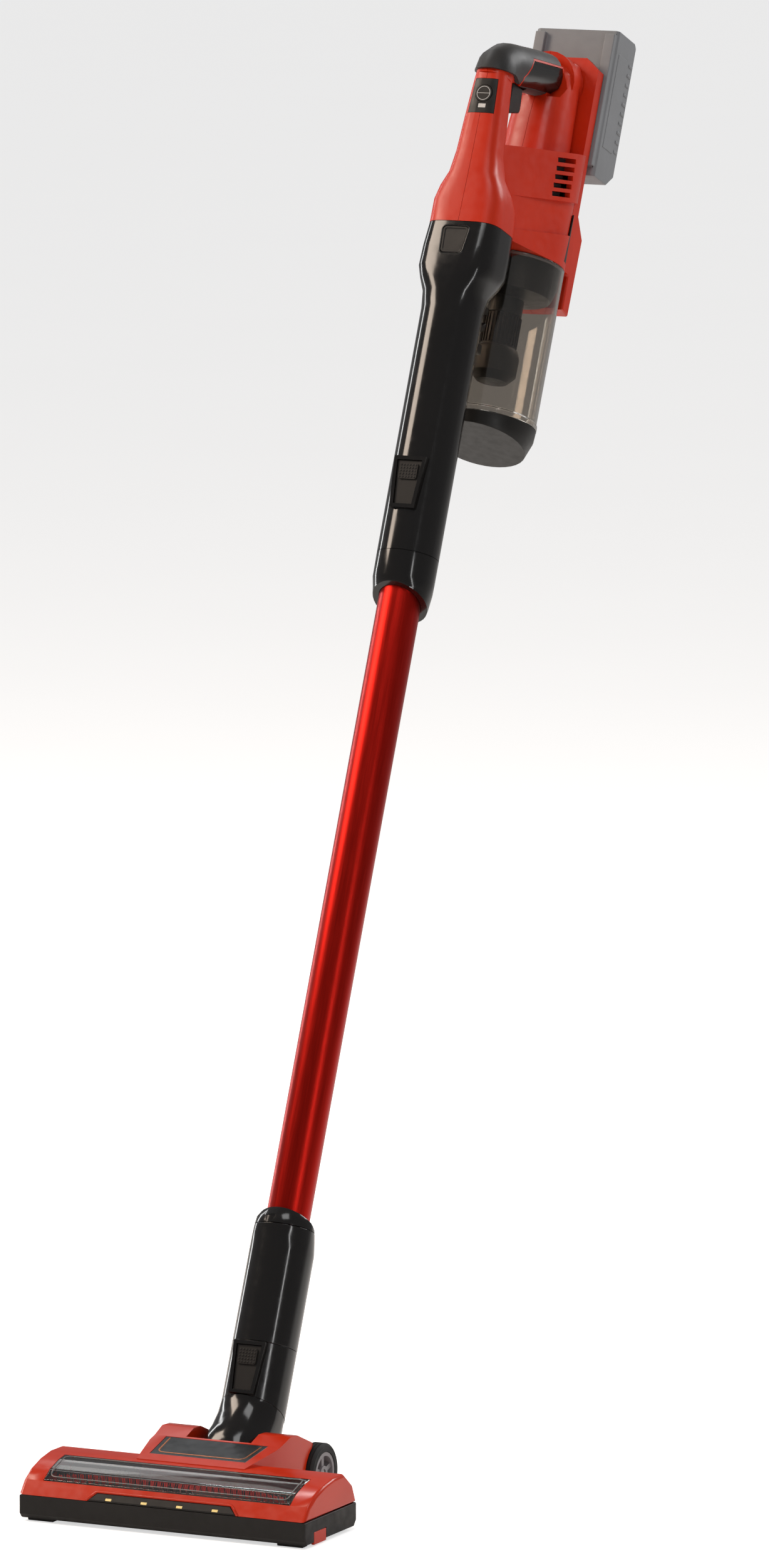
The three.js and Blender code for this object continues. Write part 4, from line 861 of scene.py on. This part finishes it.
def turned_mesh(name, profile, segments, matrix=Matrix.Identity(4), closed=False):
    """A profile of (radius, height) points turned about Z, with poles closed where the radius is 0."""
    shape = bmesh.new()
    loops = []
    for radius, height in profile:
        if radius == 0:
            loops.append([shape.verts.new((0, 0, height))])
        else:
            loops.append([shape.verts.new((radius * math.cos(2 * math.pi * k / segments),
                                           radius * math.sin(2 * math.pi * k / segments), height))
                          for k in range(segments)])
    pairs = list(zip(loops, loops[1:])) + ([(loops[-1], loops[0])] if closed else [])
    for low, high in pairs:
        for k in range(segments):
            after = k + 1
            corners = [low[k % len(low)], low[after % len(low)], high[after % len(high)], high[k % len(high)]]
            unique = list(dict.fromkeys(corners))
            if len(unique) > 2:
                shape.faces.new(unique)
    bmesh.ops.recalc_face_normals(shape, faces=shape.faces)
    mesh = bpy.data.meshes.new(name)
    shape.to_mesh(mesh)
    shape.free()
    mesh.transform(matrix)
    return mesh


dome = turned_mesh("dome", [(0, -0.2), (0.85, -0.2), (0.8, 0.15), (0.5, 0.38), (0, 0.45)], 10)
for label, body, pad_middle in (("upper", "upper_release_button", 816.5),
                                ("lower", "lower_release_button", 87.0)):
    grow(f"{label}_release_dots", dot_tree, dome,
         {"Columns": 6, "Rows": 5, "Width": 13.0, "Height": 10.0, "Finish": satin_black},
         STICK @ Matrix.Translation((0, -27.4, pad_middle)) @ Matrix.Rotation(math.pi / 2, 4, "X"), body,
         "black_satin", smooth=True)

# %% [markdown]
# ## Ribbons on the head
# The window is a clear moulding with a raised rim, the lamps sit under a red lip, and the dark plate
# has a fine copper line. All three are narrow ribbons that follow a path over a sloping face, so one
# function lifts a small crowned section along a list of points, with the face's normal at each.

# %% Ribbons
def ribbon(name, points, normals, width, proud, sink, closed=False):
    """A narrow raised strip along points on a face, in local millimetres."""
    loops = []
    last = len(points) - 1
    for index, (point, normal) in enumerate(zip(points, normals)):
        here, normal = Vector(point), Vector(normal).normalized()
        after = Vector(points[(index + 1) % len(points)] if closed else points[min(index + 1, last)])
        before = Vector(points[index - 1] if closed else points[max(index - 1, 0)])
        side = (after - before).normalized().cross(normal).normalized() * width / 2
        loops.append([here - side - normal * sink, here - side + normal * proud * 0.4,
                      here - side * 0.5 + normal * proud, here + side * 0.5 + normal * proud,
                      here + side + normal * proud * 0.4, here + side - normal * sink])
    return stacked(name, loops, caps=not closed)


def rounded_path(corners, radius, steps, closed):
    """A polyline in a plane with each inner corner turned into a small arc."""
    path = []
    total = len(corners)
    for index, corner in enumerate(corners):
        here = Vector(corner)
        if not closed and index in (0, total - 1):
            path.append(tuple(here))
            continue
        before, after = Vector(corners[index - 1]), Vector(corners[(index + 1) % total])
        start = here + (before - here).normalized() * radius
        end = here + (after - here).normalized() * radius
        for step in range(steps + 1):
            share = step / steps
            point = (start * (1 - share) ** 2) + (here * 2 * share * (1 - share)) + (end * share ** 2)
            path.append(tuple(point))
    return path


WINDOW_TOP = [(8.3, 32.7), (19, 39.6), (34, 44.6), (44.7, 46.3)]


def window_height(y):
    """The height of the window's outer face, and its slope, at a distance from the head's front edge."""
    for (y0, z0), (y1, z1) in zip(WINDOW_TOP, WINDOW_TOP[1:]):
        if y <= y1 or (y1, z1) == WINDOW_TOP[-1]:
            slope = (z1 - z0) / (y1 - y0)
            return z0 + (y - y0) * slope, slope


rim_path = rounded_path([(-104, 12), (104, 12), (104, 41), (-104, 41)], 5, 5, True)
fine_path = []
for (x0, y0), (x1, y1) in zip(rim_path, rim_path[1:] + rim_path[:1]):
    pieces = max(1, round(math.hypot(x1 - x0, y1 - y0) / 3))
    fine_path += [(x0 + (x1 - x0) * k / pieces, y0 + (y1 - y0) * k / pieces) for k in range(pieces)]
rim_points, rim_normals = [], []
for x, y in fine_path:
    z, slope = window_height(y)
    rim_points.append((x, y, z))
    rim_normals.append((0, -slope, 1))
rim_mesh = ribbon("window_rim", rim_points, rim_normals, 0.9, 0.45, 0.1, closed=True)
rim_mesh.shade_smooth()
# The rim is drawn in the pale, faintly glowing grey: a painted highlight along the window's edges.
plain_piece("window_rim", rim_mesh, rim_painted_highlight, HEAD, "head", "clear_shell")

lip_corners = [(-66.4, 21.6), (-59.0, 28.2), (59.0, 28.2), (66.4, 21.6)]
lip_path = rounded_path(lip_corners, 1.6, 4, False)
COVER_LEAN = 8 / 10.7
lip_mesh = ribbon("lamp_lip", [(x, (z - 21.3) * COVER_LEAN, z) for x, z in lip_path],
                  [(0, -1, COVER_LEAN)] * len(lip_path), 1.8, 0.7, 0.4)
lip_mesh.shade_smooth()
plain_piece("lamp_lip", lip_mesh, gloss_red, HEAD, "head", "red_shell")

line_path = rounded_path([(-40.2, 94), (-37.6, 66.5), (37.6, 66.5), (40.2, 94)], 6, 8, False)
line_mesh = ribbon("plate_line", [(x, y, 37.6 + 0.2 * y) for x, y in line_path],
                   [(0, -0.2, 1)] * len(line_path), 1.3, 0.14, 0.1)
plain_piece("plate_line", line_mesh, copper_foil, HEAD, "head", "grey_plastic")

# %% [markdown]
# ## Wheels
# Each wheel is a spoked hub with a soft tyre. A tyre is turned, so its section is drawn once: round
# shoulders, three fine grooves in the tread and a shallow ring in the side wall.

# %% Tyres
tread = [(17.3, 0.2), (17.3, 12.2), (18.2, 12.4), (19.4, 12.1), (20.6, 12.1), (21.6, 12.3), (23.0, 11.4),
         (23.7, 10.6)]
for groove in (9.6, 6.4, 3.2):
    tread += [(24.0, groove + 0.5), (23.4, groove + 0.35), (23.4, groove - 0.35), (24.0, groove - 0.5)]
tread += [(23.9, 1.2), (23.2, 0.4), (22.4, 0.0), (18.0, 0.0)]
for label, side in (("left", -1), ("right", 1)):
    facing = Matrix.Rotation(math.radians(90 * side), 4, "Y")
    tyre_mesh = turned_mesh(f"tyre_{label}", tread, 72,
                            Matrix.Translation((side * 48.6, 164, 24)) @ facing, closed=True)
    tyre_mesh.shade_smooth()
    tyre_mesh.set_sharp_from_angle(angle=math.radians(40))
    plain_piece(f"tyre_{label}_turned", tyre_mesh, rubber, HEAD, f"wheel_{label}", "tyre", f"tyre_{label}")

# %% [markdown]
# ## Screws
# The head's underside and the housing's tail are held by small pan-head screws with a cross recess.
# One screw is modelled, with the cross filled in from its outline, and a tree sets it on points.

# %% The screw and its tree
def screw_mesh(radius=2.9, arm=0.55, reach=1.7, height=0.9, depth=0.6):
    """A screw head with a cross recess, its flat underside at Z 0."""
    shape = bmesh.new()
    rim_angles = [2 * math.pi * k / 24 for k in range(24)]
    rim = [shape.verts.new((radius * math.cos(angle), radius * math.sin(angle), height)) for angle in rim_angles]
    quarter = [(reach, -arm), (reach, arm), (arm, arm)]
    cross_points = []
    for turn in range(4):
        cosine, sine = round(math.cos(turn * math.pi / 2)), round(math.sin(turn * math.pi / 2))
        cross_points += [(x * cosine - y * sine, x * sine + y * cosine) for x, y in quarter]
    cross = [shape.verts.new((x, y, height)) for x, y in cross_points]
    floor_loop = [shape.verts.new((x * 0.8, y * 0.8, height - depth)) for x, y in cross_points]
    foot = [shape.verts.new((v.co.x * 1.05, v.co.y * 1.05, 0)) for v in rim]
    edges = [shape.edges.new((loop[k], loop[(k + 1) % len(loop)]))
             for loop in (rim, cross) for k in range(len(loop))]
    bmesh.ops.triangle_fill(shape, edges=edges, use_beauty=True)
    for upper, lower in ((rim, foot), (cross, floor_loop)):
        for k in range(len(upper)):
            nxt = (k + 1) % len(upper)
            shape.faces.new((upper[k], upper[nxt], lower[nxt], lower[k]))
    shape.faces.new(foot)
    shape.faces.new(floor_loop)
    bmesh.ops.recalc_face_normals(shape, faces=shape.faces)
    mesh = bpy.data.meshes.new("screw")
    shape.to_mesh(mesh)
    shape.free()
    return mesh


screw_tree, screw_in = new_tree("Part on points", {"Part": "Object", "Turn": "Rotation", "Finish": "Material"})
screw_part = add(screw_tree, "GeometryNodeObjectInfo", links={"Object": screw_in["Part"]})
screw_copies = add(screw_tree, "GeometryNodeInstanceOnPoints",
                   links={"Points": screw_in["Geometry"], "Instance": screw_part.outputs["Geometry"],
                          "Rotation": screw_in["Turn"]})
close_tree(screw_tree, screw_copies.outputs[0], screw_in["Finish"])
screw = bpy.data.objects.new("screw_pattern", screw_mesh())
bpy.context.scene.collection.objects.link(screw)
SCREWS = {
    "head_screws": ([(x, y, 2.6) for x in (-112, -60, 60, 112) for y in (72,)], (math.pi, 0, 0), HEAD, "head"),
    "tail_screws": ([(x, 149.9, 1046) for x in (-22, 22)], (-math.pi / 2, 0, 0), STICK, "hand_unit"),
}
for name, (places, turn, board, body) in SCREWS.items():
    grow(name, screw_tree, mesh_of(f"{name}_places", places, []),
         {"Part": screw, "Turn": turn, "Finish": ground_steel}, board, body, "steel")
bpy.data.objects.remove(screw)

# %% [markdown]
# ## The lever's guides
# The thumb lever between the pipe and the bin slides in two channels that stand on the bin's wall.
# Each channel is a foot, two cheeks and two lips that hold the lever's stem, with 0.4 mm to slide in.

# %% Lever guides
guide_parts = []
for low_t, high_t in ((938.5, 946.5), (972.0, 978.0)):
    guide_parts.append(rounded_block("guide_foot", (-7, 41.9, low_t), (7, 50.2, high_t), 0.3))
    for side in (-1, 1):
        for inner, low_b, high_b in ((5.4, 37.2, 42.2), (3.4, 36.0, 37.1)):
            low_x, high_x = sorted((side * inner, side * 7))
            guide_parts.append(
                rounded_block("guide_cheek", (low_x, low_b, low_t), (high_x, high_b, high_t), 0.2))
plain_piece("bin_lever_guides", joined("bin_lever_guides", guide_parts), gloss_black, STICK, "dust_unit",
            "black_gloss")

# %% [markdown]
# ## The bin's pale rim
# The grey upper part of the cyclone ends in a paler sealing ring where it meets the hand unit.

# %% Sealing ring
walled_ring("bin_sealing_ring", 40.7, 0.9, 2.2, 0.3, STICK @ Matrix.Translation((0, BIN_AXIS, 1028.2)),
            warm_grey, "dust_unit", "filter_grey")

# %% [markdown]
# ## Floor, lights and camera
# A pale floor runs far back, so that it fills the view. Tall soft lights to the left and right draw
# the long streaks that show a round black pipe as round, and a large soft key from the upper left
# lights the red front warmly. Floor and wall glow more strongly to the eye than to the object, so
# that the background stays white without washing out the dark parts.

# %% Floor
FLOOR_HALF = 45.0
floor_mesh = mesh_of("studio_floor", [(-FLOOR_HALF, -FLOOR_HALF, 0), (FLOOR_HALF, -FLOOR_HALF, 0),
                     (FLOOR_HALF, FLOOR_HALF, 0), (-FLOOR_HALF, FLOOR_HALF, 0)], [(0, 1, 2, 3)])
floor = bpy.data.objects.new("studio_floor", floor_mesh)
floor.location.z = cad_bounds[0].z - 0.0002
bpy.context.scene.collection.objects.link(floor)
floor_paint, floor_tree = new_material("Studio floor, matt white")
floor_place = add(floor_tree, "ShaderNodeTexCoord").outputs["Object"]
floor_noise = add(floor_tree, "ShaderNodeTexNoise", {"Scale": 3.0, "Detail": 2.0}, {"Vector": floor_place})
floor_colour = add(floor_tree, "ShaderNodeMix",
                   {"data_type": "RGBA", 6: linear("#f1f0ee"), 7: linear("#f5f4f2")},
                   {0: floor_noise.outputs["Fac"]})
floor_ray = add(floor_tree, "ShaderNodeLightPath")
floor_glow = add(floor_tree, "ShaderNodeMapRange", {"To Min": 0.06, "To Max": 0.62},
                 {"Value": floor_ray.outputs["Is Camera Ray"]})
floor_shader = add(floor_tree, "ShaderNodeBsdfPrincipled",
                   {"Roughness": 0.75, "Emission Color": linear("#ffffff")},
                   {"Base Color": floor_colour.outputs[2], "Emission Strength": floor_glow.outputs["Result"]})
finish_shader(floor_tree, floor_shader)
paint(floor, floor_paint)

# %% Lights
world = bpy.data.worlds.new("Studio")
bpy.context.scene.world = world
world.use_nodes = True
world.node_tree.nodes["Background"].inputs["Color"].default_value = linear("#f4f4f6")
# The wall of the studio is bright to look at, but it lights the object only dimly.
world_ray = add(world.node_tree, "ShaderNodeLightPath")
world_glow = add(world.node_tree, "ShaderNodeMapRange", {"To Min": 0.24, "To Max": 0.86},
                 {"Value": world_ray.outputs["Is Camera Ray"]})
world.node_tree.links.new(world_glow.outputs["Result"],
                          world.node_tree.nodes["Background"].inputs["Strength"])

middle = (cad_bounds[0] + cad_bounds[1]) / 2


def soft_light(name, azimuth, elevation, distance, width, height, power, colour="#ffffff"):
    """An area light that faces the middle of the object. Azimuth 0 is in front, 90 is on the +X side."""
    a, e = math.radians(azimuth), math.radians(elevation)
    lamp_data = bpy.data.lights.new(name, "AREA")
    lamp_data.shape = "RECTANGLE"
    lamp_data.size, lamp_data.size_y = width, height
    lamp_data.energy = power
    lamp_data.color = linear(colour)[:3]
    light = bpy.data.objects.new(name, lamp_data)
    out = Vector((math.sin(a) * math.cos(e), -math.cos(a) * math.cos(e), math.sin(e)))
    light.location = middle + out * distance
    light.rotation_euler = (-out).to_track_quat("-Z", "Y").to_euler()
    bpy.context.scene.collection.objects.link(light)
    return light


soft_light("key_upper_left", -66, 40, 4.2, 1.5, 2.4, 112, "#ffecda")
soft_light("strip_far_left", -108, 6, 2.6, 0.20, 2.8, 16)
soft_light("strip_front", 54, 4, 3.2, 0.10, 2.8, 14)
soft_light("fill_front", 30, 66, 4.0, 1.6, 1.6, 30)
soft_light("rim_behind", 150, 30, 3.0, 1.2, 1.2, 30)
soft_light("window_streak", -133, 51, 3.2, 0.5, 0.10, 7)
soft_light("window_sheen", -146, 36, 3.6, 1.2, 0.6, 3.2)
bpy.context.scene.view_settings.view_transform = "Standard"

# %% Camera
CAMERA_AZIMUTH, CAMERA_ELEVATION, CAMERA_DISTANCE = 26.18, 8.34, 9.0
aim = Vector((0.1184, cad_bounds[0].y + 0.1526, 0.5777))
a, e = math.radians(CAMERA_AZIMUTH), math.radians(CAMERA_ELEVATION)
back = Vector((math.sin(a) * math.cos(e), -math.cos(a) * math.cos(e), math.sin(e)))
camera_data = bpy.data.cameras.new("Camera")
camera_data.sensor_width = 36.0
camera_data.lens = 265.9
camera_data.clip_end = 200.0
camera = bpy.data.objects.new("Camera", camera_data)
camera.location = aim + back * CAMERA_DISTANCE
camera.rotation_euler = (-back).to_track_quat("-Z", "Y").to_euler()
bpy.context.scene.collection.objects.link(camera)
bpy.context.scene.camera = camera
